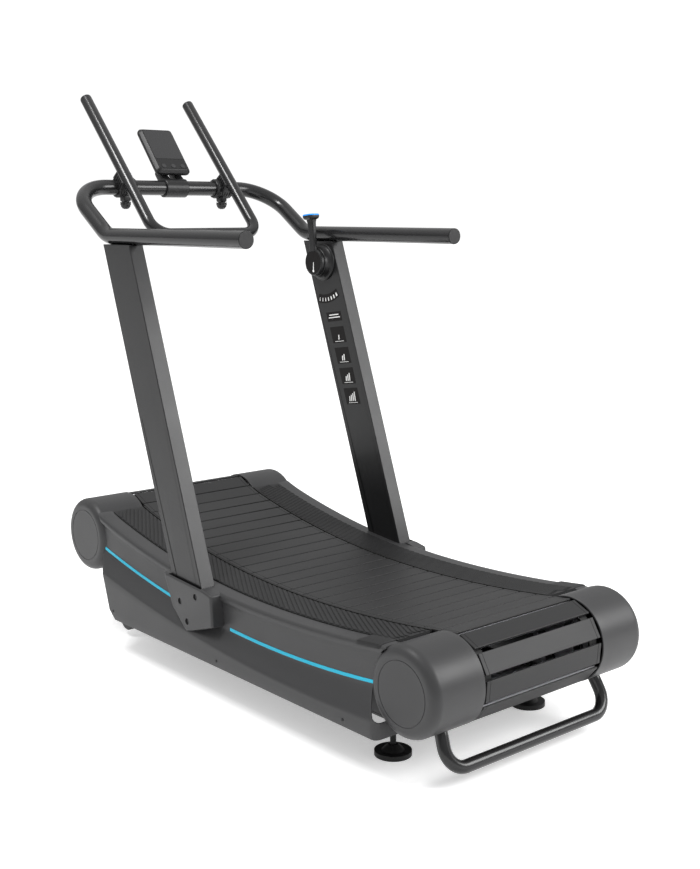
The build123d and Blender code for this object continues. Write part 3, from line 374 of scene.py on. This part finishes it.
def add_rib(bm, side, start_x, height, half_base, half_top):
    """One slanted rib across the pad, from its inner to its outer edge."""
    rows = []
    steps = 9
    for k in range(steps + 1):
        y = 0.2275 + (0.3325 - 0.2275) * k / steps
        x = start_x + RIB_SLANT * (y - 0.2275)
        if not PAD_X[0] + 0.005 < x < PAD_X[1] - 0.005:
            continue
        row = []
        for offset, depth in ((-half_base, 0.0016), (-half_top, 0.0014 - height),
                              (half_top, 0.0014 - height), (half_base, 0.0016)):
            px, pz = below_run(x + offset, depth)
            row.append((px, side * y, pz))
        rows.append(row)
    if len(rows) > 1:
        skin(bm, rows)


def add_step(bm, side):
    """The pad's smooth end, which reaches over the rim to the machine's outer edge."""
    rows = []
    for k in range(13):
        x = 0.655 + 0.090 * k / 12
        inset = 0.002 if k in (0, 12) else 0.0
        rows.append([])
        for y, depth in ((0.3300, 0.0090), (0.3300, 0.0008), (0.3800, 0.0008), (0.3862, 0.0024),
                         (0.3892, 0.0062), (0.3898, 0.0125), (0.3860, 0.0160)):
            px, pz = below_run(x, depth + inset)
            rows[-1].append((px, side * (y - inset), pz))
    rings = skin(bm, rows, close_row=True)
    cap(bm, rings[0])
    cap(bm, rings[-1])


def add_pad(name, side):
    bm = bmesh.new()
    rows = []
    section = ((0.2255, 0.0090), (0.2255, 0.0022), (0.2265, 0.0014), (0.2800, 0.0014),
               (0.3335, 0.0014), (0.3345, 0.0022), (0.3345, 0.0090))
    for k in range(PAD_STEPS + 1):
        x = PAD_X[0] + (PAD_X[1] - PAD_X[0]) * k / PAD_STEPS
        rows.append([])
        for y, depth in section:
            px, pz = below_run(x, depth)
            rows[-1].append((px, side * y, pz))
    rings = skin(bm, rows)
    cap(bm, rings[0])
    cap(bm, rings[-1])
    count = int((PAD_X[1] - PAD_X[0] + 0.19) / RIB_PITCH)
    for k in range(count):
        add_rib(bm, side, PAD_X[0] - 0.185 + RIB_PITCH * k, 0.0016, 0.0088, 0.0074)
    add_step(bm, side)
    pad = piece(name + "_foot_pad", bm, "pad_rubber")
    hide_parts("foot_pads")


# ---------------------------------------------------------------- side covers
CREASE = ((-0.606, 0.318), (0.060, 0.218), (0.762, 0.243))
SKIRT_TOP = ((-0.536, 0.255), (0.130, 0.168), (0.762, 0.164))
COVER_STEPS = 96
REAR_X = 0.742                       # where the skirt starts to turn round the corner
CORNER_R = 0.020


def between(a, b, t):
    return a + (b - a) * t


def cover_row(t):
    """The cover's section at share t of its length, from the pad's edge to the skirt's hem."""
    rim_x = between(-0.606, REAR_X, t)
    crease_x = between(CREASE[0][0], REAR_X, t)
    ledge_x = between(SKIRT_TOP[0][0], REAR_X, t)
    points = []

    def rim(y, depth):
        x, z = below_run(rim_x, depth)
        points.append(Vector((x, y, z)))

    rim(0.3352, 0.0110)
    rim(0.3352, 0.0050)
    rim(0.3362, 0.0040)
    rim(0.3560, 0.0034)
    rim(0.3740, 0.0036)
    for k in range(6):
        turn = math.radians(18 * k)
        rim(0.3780 + 0.0100 * math.sin(turn), 0.0140 - 0.0100 * math.cos(turn))
    rim(RIM_Y, 0.0200)
    rim(0.3872, 0.0228)
    rim(0.3845, 0.0238)
    rim(0.3812, 0.0242)
    rim(PANEL_Y, 0.0262)
    top = points[-1]
    crease = Vector((crease_x, PANEL_Y, arc_z(CREASE, crease_x)))
    for k in range(1, 6):
        points.append(top.lerp(crease, k / 5.15))
    ledge = Vector((ledge_x, SKIRT_Y, arc_z(SKIRT_TOP, ledge_x)))
    for k in range(1, 9):
        share = k / 8.6
        bulge = 0.0030 * math.sin(math.pi * share)
        points.append(crease.lerp(ledge, share) + Vector((0, -bulge, 0)))
    points.append(ledge + Vector((0, -0.0010, -0.0012)))
    points.append(ledge + Vector((0, 0, -0.0045)))
    upper_x = between(-0.499, REAR_X, t)
    lower_x = between(-0.470, REAR_X, t)
    knee = Vector((upper_x, SKIRT_Y, 0.140))
    for k in range(1, 5):
        points.append(points[-1].lerp(knee, 0.25 * k) if k < 4 else knee)
    points.append(Vector((lower_x, SKIRT_Y, SKIRT_BOTTOM + 0.004)))
    points.append(Vector((lower_x, SKIRT_Y - 0.0012, SKIRT_BOTTOM + 0.0008)))
    points.append(Vector((lower_x, SKIRT_Y - 0.0040, SKIRT_BOTTOM)))
    return points


def carve(obj, cutter, operation="DIFFERENCE"):
    """Cut one mesh object with another, for good, and drop the cutter."""
    cut = obj.modifiers.new("cut", "BOOLEAN")
    cut.object = cutter
    cut.operation = operation
    cut.solver = "EXACT"
    cut.use_self = True
    bake(obj)
    bpy.data.objects.remove(cutter)


def bake(obj):
    """Make an object's modifiers part of its mesh."""
    graph = bpy.context.evaluated_depsgraph_get()
    mesh = bpy.data.meshes.new_from_object(obj.evaluated_get(graph))
    obj.modifiers.clear()
    obj.data = mesh


def loose(name, bm):
    """A helper object that is not kept."""
    bmesh.ops.remove_doubles(bm, verts=bm.verts, dist=1e-6)
    bmesh.ops.recalc_face_normals(bm, faces=bm.faces)
    mesh = bpy.data.meshes.new(name)
    bm.to_mesh(mesh)
    bm.free()
    obj = bpy.data.objects.new(name, mesh)
    bpy.context.scene.collection.objects.link(obj)
    return obj


def drum_cutter(axle, radius, low_y, high_y, steps=96):
    """A plain cylinder parallel to Y, for cutting."""
    bm = bmesh.new()
    rows = []
    for y in (low_y, high_y):
        rows.append([(axle.x + radius * math.cos(2 * math.pi * k / steps), y,
                      axle.z + radius * math.sin(2 * math.pi * k / steps))
                     for k in range(steps)])
    rings = skin(bm, rows, close_row=True)
    cap(bm, rings[0])
    cap(bm, rings[1])
    return loose("cutter", bm)


def add_side_cover(name, side):
    bm = bmesh.new()
    rows = [cover_row(k / COVER_STEPS) for k in range(COVER_STEPS + 1)]
    last = rows[-1]
    for k in range(1, 6):
        turn = math.radians(18 * k)
        limit = SKIRT_Y - CORNER_R * (1 - math.cos(turn))
        rows.append([Vector((p.x + CORNER_R * math.sin(turn), min(p.y, limit), p.z))
                     for p in last])
    rows.append([Vector((p.x, min(p.y, 0.334 + 0.02 * (p.z - SKIRT_BOTTOM)), p.z))
                 for p in rows[-1]])
    mirrored = [[(p.x, side * p.y, p.z) for p in row] for row in rows]
    skin(bm, mirrored)
    cover = piece(name + "_side_shell", bm, "cover_plastic", smooth=40)
    wall = cover.modifiers.new("wall", "SOLIDIFY")
    wall.thickness = 0.0022
    wall.offset = -1
    bake(cover)
    for axle in (FRONT_AXLE, REAR_AXLE):
        low, high = sorted((side * 0.3803, side * 0.430))
        carve(cover, drum_cutter(axle, COWL_R - 0.0040, low, high))
    cover.data.shade_smooth()
    cover.data.set_sharp_from_angle(angle=math.radians(40))
    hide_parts(name + "_side_cover")


# ---------------------------------------------------------------- drum cowls
def add_cowl(name, side, axle, node):
    """A round cowl with a rounded end and a shallow ring in its end face."""
    profile = [(COWL_R - 0.004, 0.2230), (COWL_R - 0.001, 0.2230), (COWL_R, 0.2240)]
    profile += [(COWL_R, 0.2240 + 0.0235 * k) for k in range(1, 7)]
    for k in range(13):
        turn = math.radians(7.5 * k)
        profile.append((COWL_R - COWL_ROUND + COWL_ROUND * math.cos(turn),
                        COWL_END_Y - COWL_ROUND + COWL_ROUND * math.sin(turn)))
    groove = COWL_R - 0.035
    profile += [(groove + 0.0012, COWL_END_Y), (groove + 0.0008, COWL_END_Y - 0.0012),
                (groove - 0.0008, COWL_END_Y - 0.0012), (groove - 0.0012, COWL_END_Y),
                (0.050, COWL_END_Y), (0.0, COWL_END_Y)]
    bm = bmesh.new()
    steps = 128
    rows = []
    for k in range(steps):
        turn = 2 * math.pi * k / steps
        rows.append([(axle.x + r * math.cos(turn), side * y, axle.z + r * math.sin(turn))
                     for r, y in profile])
    skin(bm, rows, close_rows=True)
    cowl = piece(name, bm, "cover_plastic", smooth=30)
    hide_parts(node)


add_slats()
for side_name, side_sign in SIDES.items():
    add_pad(side_name, side_sign)
    add_side_cover(side_name, side_sign)
    add_cowl("front_" + side_name + "_cowl", side_sign, FRONT_AXLE, "front_cowls")
    add_cowl("rear_" + side_name + "_cowl", side_sign, REAR_AXLE, "rear_cowls")

# ---------------------------------------------------------------- shaped plates
def rounded_outline(corners, inset, radius, steps=4):
    """Outline drawn a distance inside a closed polygon, with round corners."""
    points = [Vector(corner) for corner in corners]
    count = len(points)
    area = sum(points[i - 1].x * points[i].y - points[i].x * points[i - 1].y for i in range(count))
    turn = math.copysign(1, area)
    outline = []
    for i in range(count):
        first = (points[i] - points[i - 1]).normalized()
        second = (points[(i + 1) % count] - points[i]).normalized()
        into = Vector((-first.y - second.y, first.x + second.x)) * turn
        corner = points[i] + into * inset / (1 + first.dot(second))
        half = math.acos(max(-1, min(1, first.dot(second)))) / 2
        reach = radius * math.tan(half)
        start = corner - first * reach
        end = corner + second * reach
        for k in range(steps + 1):
            t = k / steps
            outline.append(start * (1 - t) ** 2 + corner * 2 * t * (1 - t) + end * t ** 2)
    return outline


def slab(bm, layers, place):
    """Closed solid through stacked outlines; place turns (outline point, height) into 3-D."""
    rings = skin(bm, [[place(p, h) for p in outline] for outline, h in layers], close_row=True)
    cap(bm, rings[0])
    cap(bm, rings[-1])


def edged(corners, low, high, corner_r, edge_r, steps=3):
    """Layers of a plate from height low to high, with every edge rounded."""
    layers = []
    for k in range(steps + 1):
        turn = math.radians(90 * k / steps)
        layers.append((rounded_outline(corners, edge_r * (1 - math.sin(turn)), corner_r),
                       low + edge_r * (1 - math.cos(turn))))
    for k in range(steps + 1):
        turn = math.radians(90 * k / steps)
        layers.append((rounded_outline(corners, edge_r * (1 - math.cos(turn)), corner_r),
                       high - edge_r * (1 - math.sin(turn))))
    return layers


def sideways(side):
    """Placing for outlines drawn in the X-Z plane, whose height is the distance from the middle."""
    return lambda p, h: (p.x, side * h, p.y)


RIPPLE_FROM_R = 0.01                 # nothing nearer to the axis is rippled


def turned(bm, centre, side, profile, steps=72, ripple=None):
    """Solid of revolution about a line along Y; the profile holds (radius, y)."""
    rows = []
    for k in range(steps):
        turn = 2 * math.pi * k / steps
        grow = ripple(k) if ripple else 0.0
        rows.append([])
        for r, y in profile:
            radius = r + grow if r > RIPPLE_FROM_R else r
            rows[-1].append((centre[0] + radius * math.cos(turn), side * y,
                             centre[1] + radius * math.sin(turn)))
    skin(bm, rows, close_rows=True)


# ---------------------------------------------------------------- post boots
POST_LEAN = math.radians(19.5)
POST_REF = (-0.035, 0.230)           # a point on the posts' centre line
BOOT_OUTLINE = ((-0.176, 0.336), (0.028, 0.324), (0.070, 0.316), (0.076, 0.224),
                (-0.060, 0.180), (-0.130, 0.240))
BOLT_SPOTS = ((-0.088, 0.266), (-0.008, 0.296), (-0.052, 0.213))
BOOT_EDGE_R = 0.0078                 # rounding of the boot's outer edge
BOOT_CORNER_R = 0.008
POST_HALF_DEPTH = 0.0705
SLOT_GAP = (0.004, 0.009)            # ahead of the post and behind it
POCKET_R = 0.0095


def post_x(z):
    """Middle of a post at a height."""
    return POST_REF[0] - (z - POST_REF[1]) * math.tan(POST_LEAN)


def add_boot(name, side):
    """Moulded cover over a post's foot, slotted for the post and pocketed for its bolts."""
    bm = bmesh.new()
    layers = [(rounded_outline(BOOT_OUTLINE, 0.0, BOOT_CORNER_R), 0.3775)]
    for k in range(7):
        turn = math.radians(15 * k)
        inset = BOOT_EDGE_R * (1 - math.cos(turn))
        layers.append((rounded_outline(BOOT_OUTLINE, inset, BOOT_CORNER_R),
                       0.4120 + BOOT_EDGE_R * math.sin(turn)))
    slab(bm, layers, sideways(side))
    boot = piece(name + "_post_boot", bm, "cover_plastic", smooth=40)
    cutter = bmesh.new()
    ahead = -POST_HALF_DEPTH / math.cos(POST_LEAN) - SLOT_GAP[0]
    behind = POST_HALF_DEPTH / math.cos(POST_LEAN) + SLOT_GAP[1]
    outline = [Vector((post_x(z) + dx, z)) for z, dx in (
        (0.236, ahead), (0.236, behind), (0.42, behind), (0.42, ahead))]
    slab(cutter, [(outline, 0.350), (outline, 0.4160)], sideways(side))
    carve(boot, loose("slot_cutter", cutter))
    for x, z in BOLT_SPOTS:
        low, high = sorted((side * 0.4075, side * 0.430))
        carve(boot, drum_cutter(Vector((x, 0, z)), POCKET_R, low, high, steps=40))
    boot.data.shade_smooth()
    boot.data.set_sharp_from_angle(angle=math.radians(40))
    flatten(boot)
    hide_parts("post_boots")


# ---------------------------------------------------------------- push bar clamps and knobs
CROSSBAR = (-0.718, 1.455)
PUSH_DIR = Vector((-0.6824, 0.7310))
ACROSS = Vector((0.7310, 0.6824))
KNOB = (-0.714, 0.188, 1.4125)


def add_clamp(name, side):
    """Ribbed collar on the crossbar with the saddle that holds one leg of the push bar."""
    bm = bmesh.new()
    profile = [(0.0241, 0.1560), (0.0285, 0.1560), (0.0300, 0.1575)]
    for k in range(6):
        y = 0.1600 + 0.0095 * k
        profile += [(0.0318, y), (0.0318, y + 0.0060), (0.0298, y + 0.0070), (0.0298, y + 0.0085)]
    profile += [(0.0318, 0.2175), (0.0300, 0.2195), (0.0241, 0.2195)]
    turned(bm, CROSSBAR, side, profile, steps=60, ripple=lambda k: 0.0008 if k % 4 < 2 else 0.0)
    centre = Vector(CROSSBAR)
    corners = [centre + PUSH_DIR * u + ACROSS * v for u, v in (
        (-0.031, 0.012), (0.031, 0.012), (0.027, 0.046), (-0.027, 0.046))]
    slab(bm, edged(corners, 0.1745, 0.2245, 0.005, 0.003), sideways(side))
    for u in (-0.020, -0.010, 0.0, 0.010, 0.020):
        corners = [centre + PUSH_DIR * (u + du) + ACROSS * v for du, v in (
            (-0.0022, 0.016), (0.0022, 0.016), (0.0022, 0.044), (-0.0022, 0.044))]
        slab(bm, edged(corners, 0.1728, 0.2262, 0.0008, 0.0008), sideways(side))
    low = Vector((KNOB[0], CROSSBAR[1] - 0.0445))
    corners = [low + Vector(p) for p in ((-0.013, 0.0), (0.013, 0.0), (0.015, 0.020), (-0.015, 0.020))]
    slab(bm, edged(corners, KNOB[1] - 0.013, KNOB[1] + 0.013, 0.004, 0.003), sideways(side))
    clamp = piece(name + "_push_bar_clamp", bm, "black_plastic", body="push_bar_frame", smooth=35)
    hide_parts("push_bar_clamps")


def add_knob(name, side):
    """Half-round wing knob with a scalloped edge, on its stud."""
    bm = bmesh.new()
    y_mid = KNOB[1]

    def wing(scale, half):
        points = []
        for k in range(49):
            turn = math.pi * (1 + k / 48)
            radius = scale * (0.0215 + 0.0010 * math.cos(k * math.pi / 3))
            points.append(Vector((KNOB[0] + radius * math.cos(turn),
                                  KNOB[2] - 0.0035 + radius * math.sin(turn))))
        return points, y_mid + half

    slab(bm, [wing(0.88, -0.0085), wing(0.97, -0.0078), wing(1.0, -0.0060), wing(1.0, 0.0060),
              wing(0.97, 0.0078), wing(0.88, 0.0085)], sideways(side))
    for radius, low, high in ((0.0120, -0.0030, -0.0005), (0.0049, -0.0010, 0.0150)):
        rings = [[(KNOB[0] + radius * math.cos(k * math.pi / 16),
                   side * y_mid + radius * math.sin(k * math.pi / 16), KNOB[2] + z)
                  for k in range(32)] for z in (low - 0.010, high)]
        made = skin(bm, rings, close_row=True)
        cap(bm, made[0])
        cap(bm, made[1])
    knob = piece(name + "_wing_knob", bm, "black_plastic", body=name + "_knob", smooth=40)
    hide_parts(name + "_clamp_knob")


# ---------------------------------------------------------------- resistance unit
HUB = (-0.378, 1.213)
ARM_LEAN = math.radians(6)
DIAL = surface("dial_face", (0.004, 0.003, 0.003), 0.45, mottle=0.3, edge=0.0,
               grain=(900.0, 0.00004), specular=0.15)


def add_housing():
    """Bell-shaped housing between the lever and the right post."""
    bm = bmesh.new()
    profile = [(0.0, 0.3600), (0.0600, 0.3600), (0.0612, 0.3590), (0.0612, 0.3560),
               (0.0600, 0.3545)]
    for k in range(9):
        turn = math.radians(90 * k / 8)
        profile.append((0.0595 - 0.0125 * math.sin(turn), 0.3540 - 0.0215 * (1 - math.cos(turn))))
    profile += [(0.0455, 0.3312), (0.0, 0.3312)]
    turned(bm, HUB, 1, profile)
    housing = piece("resistance_bell", bm, "black_plastic", smooth=30)
    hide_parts("resistance_housing")


def on_arm(p, h):
    """Placing for outlines across the arm, at a height along it."""
    x = p.x
    return (HUB[0] + x * math.cos(ARM_LEAN) - h * math.sin(ARM_LEAN), p.y,
            HUB[1] + x * math.sin(ARM_LEAN) + h * math.cos(ARM_LEAN))


def box_corners(low_x, high_x, low_y, high_y):
    return ((low_x, low_y), (high_x, low_y), (high_x, high_y), (low_x, high_y))


def add_lever():
    """Resistance lever: dial hub, flat arm and palm grip with its coloured top."""
    bm = bmesh.new()
    profile = [(0.0, 0.3305), (0.0420, 0.3305), (0.0440, 0.3290), (0.0440, 0.3205),
               (0.0425, 0.3186), (0.0405, 0.3180), (0.0388, 0.3182), (0.0380, 0.3192),
               (0.0, 0.3192)]
    turned(bm, HUB, 1, profile)
    arm = box_corners(-0.014, 0.014, 0.3165, 0.3300)
    layers = [(rounded_outline(arm, 0.0, 0.0035), h) for h in (0.036, 0.060, 0.100)]
    layers.append((rounded_outline(arm, -0.0010, 0.0035), 0.130))
    layers.append((rounded_outline(arm, -0.0030, 0.0035), 0.142))
    slab(bm, layers, on_arm)
    grip = box_corners(-0.0225, 0.0265, 0.2995, 0.3415)
    layers = [(rounded_outline(grip, inset, 0.013, 6), h) for inset, h in (
        (0.0110, 0.1395), (0.0060, 0.1402), (0.0025, 0.1422), (0.0006, 0.1455), (0.0, 0.1490),
        (0.0, 0.1530))]
    slab(bm, layers, on_arm)
    lever = piece("resistance_arm", bm, "black_plastic", body="lever", smooth=35, flat=True)
    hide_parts("resistance_lever")

    bm = bmesh.new()
    layers = [(rounded_outline(grip, inset, 0.013, 6), h) for inset, h in (
        (0.0, 0.1531), (0.0, 0.1552), (0.0006, 0.1568), (0.0020, 0.1578), (0.0045, 0.1581))]
    slab(bm, layers, on_arm)
    top = piece("resistance_grip_top", bm, "blue_cap", body="lever", smooth=40)
    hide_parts("lever_cap")

    bm = bmesh.new()
    turned(bm, HUB, 1, [(0.0, 0.3193), (0.0375, 0.3193), (0.0375, 0.3189), (0.0, 0.3189)])
    face = piece("lever_dial_face", bm, "black_plastic", body="lever", material=DIAL)

    bm = bmesh.new()
    mark(bm, [(-0.0012, 0.0), (0.0012, 0.0), (0.0024, -0.030), (-0.0024, -0.030)], 0.3187)
    disc = [(0.0045 * math.cos(k * math.pi / 8), -0.0285 + 0.0045 * math.sin(k * math.pi / 8))
            for k in range(16)]
    mark(bm, disc, 0.3186)
    piece("lever_pointer_print", bm, "black_plastic", body="lever", material=PRINT)


def mark(bm, corners, y, thick=0.0002, origin=HUB):
    """Thin printed shape on a face that looks to the left; y is its outer face."""
    outline = [Vector((origin[0] + x, origin[1] + z)) for x, z in corners]
    slab(bm, [(outline, y), (outline, y + thick)], sideways(1))


def polar(radius, degrees):
    turn = math.radians(degrees)
    return (radius * math.cos(turn), radius * math.sin(turn))


def add_scale():
    """Arc-shaped scale under the dial, with seven marks that grow with the resistance."""
    bm = bmesh.new()
    arc = [polar(0.1370, -101 + 4.1 * k) for k in range(13)]
    arc += [polar(0.1080, -51.8 - 4.1 * k) for k in range(13)]
    mark(bm, arc, 0.3597, 0.0003)
    piece("resistance_scale_plate", bm, "black_plastic", material=DIAL)
    bm = bmesh.new()
    for k in range(7):
        angle = -97 + 6.8 * k
        half = 0.6 + 0.16 * k
        mark(bm, [polar(0.1310, angle - half), polar(0.1310, angle + half),
                  polar(0.1190, angle + half * 0.8), polar(0.1190, angle - half * 0.8)],
             0.3595, 0.0002)
    piece("resistance_scale_print", bm, "black_plastic", material=PRINT)


# ---------------------------------------------------------------- printed guide on the post
GUIDE_Z = (1.035, 0.976, 0.909, 0.843, 0.778)
GUIDE_TILT = math.radians(8)


def guide_point(z, u, v):
    """A point on the guide, across and up from its place on the post's centre line."""
    return (post_x(z) + u * math.cos(GUIDE_TILT) - v * math.sin(POST_LEAN),
            z + u * math.sin(GUIDE_TILT) + v * math.cos(POST_LEAN))


def guide_mark(bm, z, corners, y):
    mark(bm, [guide_point(z, u, v) for u, v in corners], y, origin=(0.0, 0.0))


def add_guide():
    """Column of dark fields with plain marks: one, two, three and four slanted strokes."""
    bm = bmesh.new()
    guide_mark(bm, GUIDE_Z[0], [(-0.037, -0.016), (0.037, -0.016), (0.037, 0.016), (-0.037, 0.016)],
               0.3597)
    for z in GUIDE_Z[1:]:
        guide_mark(bm, z, [(-0.0345, -0.0275), (0.0345, -0.0275), (0.0345, 0.0275),
                           (-0.0345, 0.0275)], 0.3597)
    piece("guide_fields", bm, "black_plastic", material=DIAL)
    bm = bmesh.new()
    for v, half in ((0.006, 0.024), (-0.003, 0.029)):
        guide_mark(bm, GUIDE_Z[0], [(-half, v - 0.0016), (half, v - 0.0016), (half, v + 0.0016),
                                    (-half, v + 0.0016)], 0.3595)
    for level, z in enumerate(GUIDE_Z[1:], 1):
        for k in range(level):
            base = 0.0090 * k - 0.0045 * (level - 1) - 0.004
            tall = 0.016 + 0.005 * k
            guide_mark(bm, z, [(base, -0.0170), (base + 0.0048, -0.0170),
                               (base + 0.0088, -0.0170 + tall), (base + 0.0040, -0.0170 + tall)],
                       0.3595)
        guide_mark(bm, z, [(-0.022, -0.0232), (0.022, -0.0232), (0.022, -0.0216),
                           (-0.022, -0.0216)], 0.3595)
    piece("guide_print", bm, "black_plastic", material=PRINT)


# ---------------------------------------------------------------- console
CONSOLE_FOOT = Vector((-0.704, 1.510))
CONSOLE_UP = Vector((-0.6412, 0.7674))
CONSOLE_OUT = Vector((0.7674, 0.6412))
CONSOLE_TALL = 0.1903
TILT_PIN = (-0.757, 1.512)


def on_console(p, h):
    """Placing for outlines on the console's face, at a height out of it."""
    spot = CONSOLE_FOOT + CONSOLE_UP * p.y + CONSOLE_OUT * h
    return (spot.x, p.x, spot.y)


def add_console():
    bm = bmesh.new()
    face = box_corners(-0.066, 0.066, 0.0, CONSOLE_TALL)
    layers = [(rounded_outline(face, inset, max(0.006, 0.019 - inset), 6), h) for inset, h in (
        (0.0130, -0.0258), (0.0060, -0.0250), (0.0018, -0.0225), (0.0, -0.0190), (0.0, -0.0120),
        (0.0010, -0.0098), (0.0085, -0.0018), (0.0098, -0.0009), (0.0112, -0.0006))]
    slab(bm, layers, on_console)
    lug = [(TILT_PIN[0] - 0.009, TILT_PIN[1] - 0.002), (TILT_PIN[0] - 0.003, TILT_PIN[1] - 0.009),
           (TILT_PIN[0] + 0.006, TILT_PIN[1] - 0.007), (-0.738, 1.526), (-0.764, 1.545)]
    slab(bm, edged(lug, -0.0114, 0.0114, 0.002, 0.001), sideways(1))
    band = box_corners(-0.052, 0.052, 0.0130, 0.0345)
    slab(bm, edged(band, -0.0030, 0.0002, 0.004, 0.0006), on_console)
    shell = piece("console_shell", bm, "black_plastic", body="console", smooth=32, flat=True)
    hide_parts("console_housing")


def add_console_bracket():
    """Sleeve on the crossbar with two ears that hold the console's pin."""
    bm = bmesh.new()
    profile = [(0.0241, -0.0420), (0.0290, -0.0420), (0.0305, -0.0405), (0.0305, 0.0405),
               (0.0290, 0.0420), (0.0241, 0.0420)]
    turned(bm, CROSSBAR, 1, profile, steps=48)
    ear = ((-0.742, 1.464), (-0.700, 1.472), (-0.736, 1.500), (-0.747, 1.520), (-0.765, 1.522),
           (-0.772, 1.500))
    for side in (-1, 1):
        slab(bm, edged(ear, 0.0122, 0.0400, 0.004, 0.0022), sideways(side))
        turned(bm, TILT_PIN, side, [(0.0, 0.0400), (0.0062, 0.0400), (0.0062, 0.0425),
                                    (0.0045, 0.0435), (0.0, 0.0435)], steps=24)
    bracket = piece("console_saddle", bm, "black_plastic", smooth=35)
    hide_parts("console_bracket")


for side_name, side_sign in SIDES.items():
    add_boot(side_name, side_sign)
    add_clamp(side_name, side_sign)
    add_knob(side_name, side_sign)
add_housing()
add_lever()
add_scale()
add_guide()
add_console()
add_console_bracket()

# ---------------------------------------------------------------- softened CAD edges
for soft_node, soft_width in (("left_post", 0.0025), ("right_post", 0.0025),
                              ("base_rails", 0.0020), ("cross_members", 0.0020),
                              ("handrail_caps", 0.0012), ("push_bar_caps", 0.0012),
                              ("start_button", 0.0006), ("mode_button", 0.0006),
                              ("stop_button", 0.0006)):
    soften(soft_node, soft_width)

# ---------------------------------------------------------------- camera, light, floor
CAMERA_PLACE = Vector((2.9308, -2.3537, 1.380))
CAMERA_FLAT = Vector((-0.7597, 0.6503, 0.0))       # level direction that the camera faces
CAMERA_DIP = math.radians(9.96)


def add_camera():
    data = bpy.data.cameras.new("camera")
    data.sensor_width = 36.0
    data.lens = 52.7
    data.clip_end = 100.0
    camera = bpy.data.objects.new("camera", data)
    camera.location = CAMERA_PLACE
    facing = CAMERA_FLAT * math.cos(CAMERA_DIP) - Vector((0, 0, math.sin(CAMERA_DIP)))
    camera.rotation_mode = "QUATERNION"
    camera.rotation_quaternion = facing.to_track_quat("-Z", "Y")
    bpy.context.scene.collection.objects.link(camera)
    bpy.context.scene.camera = camera


def add_area(name, place, target, size, power):
    data = bpy.data.lights.new(name, "AREA")
    data.shape = "RECTANGLE"
    data.size, data.size_y = size
    data.energy = power
    light = bpy.data.objects.new(name, data)
    light.location = place
    light.rotation_mode = "QUATERNION"
    aim = Vector(target) - Vector(place)
    light.rotation_quaternion = aim.to_track_quat("-Z", "Y")
    bpy.context.scene.collection.objects.link(light)


def sky_gradient(tree):
    """Light that falls off from the top of the sky to the horizon."""
    place = tree.nodes.new("ShaderNodeTexCoord")
    split = tree.nodes.new("ShaderNodeSeparateXYZ")
    fall = tree.nodes.new("ShaderNodeMapRange")
    fall.inputs["From Max"].default_value = 0.8
    fall.inputs["To Min"].default_value = 0.36
    fall.inputs["To Max"].default_value = 1.0
    link(tree, place.outputs["Generated"], split.inputs["Vector"])
    link(tree, split.outputs["Z"], fall.inputs["Value"])
    return fall.outputs["Result"]


def add_studio():
    world = bpy.data.worlds.new("studio")
    world.use_nodes = True
    tree = world.node_tree
    lit = tree.nodes["Background"]
    lit.inputs["Color"].default_value = (1, 1, 1, 1)
    link(tree, sky_gradient(tree), lit.inputs["Strength"])
    seen = tree.nodes.new("ShaderNodeBackground")
    seen.inputs["Color"].default_value = (1, 1, 1, 1)
    seen.inputs["Strength"].default_value = 1.05
    ray = tree.nodes.new("ShaderNodeLightPath")
    mix = tree.nodes.new("ShaderNodeMixShader")
    link(tree, ray.outputs["Is Camera Ray"], mix.inputs["Fac"])
    link(tree, lit.outputs["Background"], mix.inputs[1])
    link(tree, seen.outputs["Background"], mix.inputs[2])
    link(tree, mix.outputs["Shader"], tree.nodes["World Output"].inputs["Surface"])
    bpy.context.scene.world = world
    # the key lights the faces that look back; the strip draws the highlights on the push bar
    add_area("key", (3.4, 2.6, 2.5), (0, 0, 0.5), (2.2, 2.0), 150)
    add_area("top_strip", (-0.5, -1.7, 3.7), (-0.7, -0.1, 1.4), (0.35, 1.4), 70)
    bm = bmesh.new()
    size = 40.0
    skin(bm, [[(-size, -size, 0), (size, -size, 0)], [(-size, size, 0), (size, size, 0)]])
    mesh = bpy.data.meshes.new("studio_floor")
    bm.to_mesh(mesh)
    bm.free()
    floor = bpy.data.objects.new("studio_floor", mesh)
    paper = bpy.data.materials.new("studio_paper")
    paper.use_nodes = True
    shader = paper.node_tree.nodes["Principled BSDF"]
    shader.inputs["Base Color"].default_value = (0.97, 0.97, 0.97, 1)
    shader.inputs["Roughness"].default_value = 0.9
    shader.inputs["Specular IOR Level"].default_value = 0.1
    shader.inputs["Emission Color"].default_value = (1, 1, 1, 1)
    shader.inputs["Emission Strength"].default_value = 0.40
    mesh.materials.append(paper)
    bpy.context.scene.collection.objects.link(floor)
    bpy.context.scene.view_settings.view_transform = "Standard"


add_camera()
add_studio()
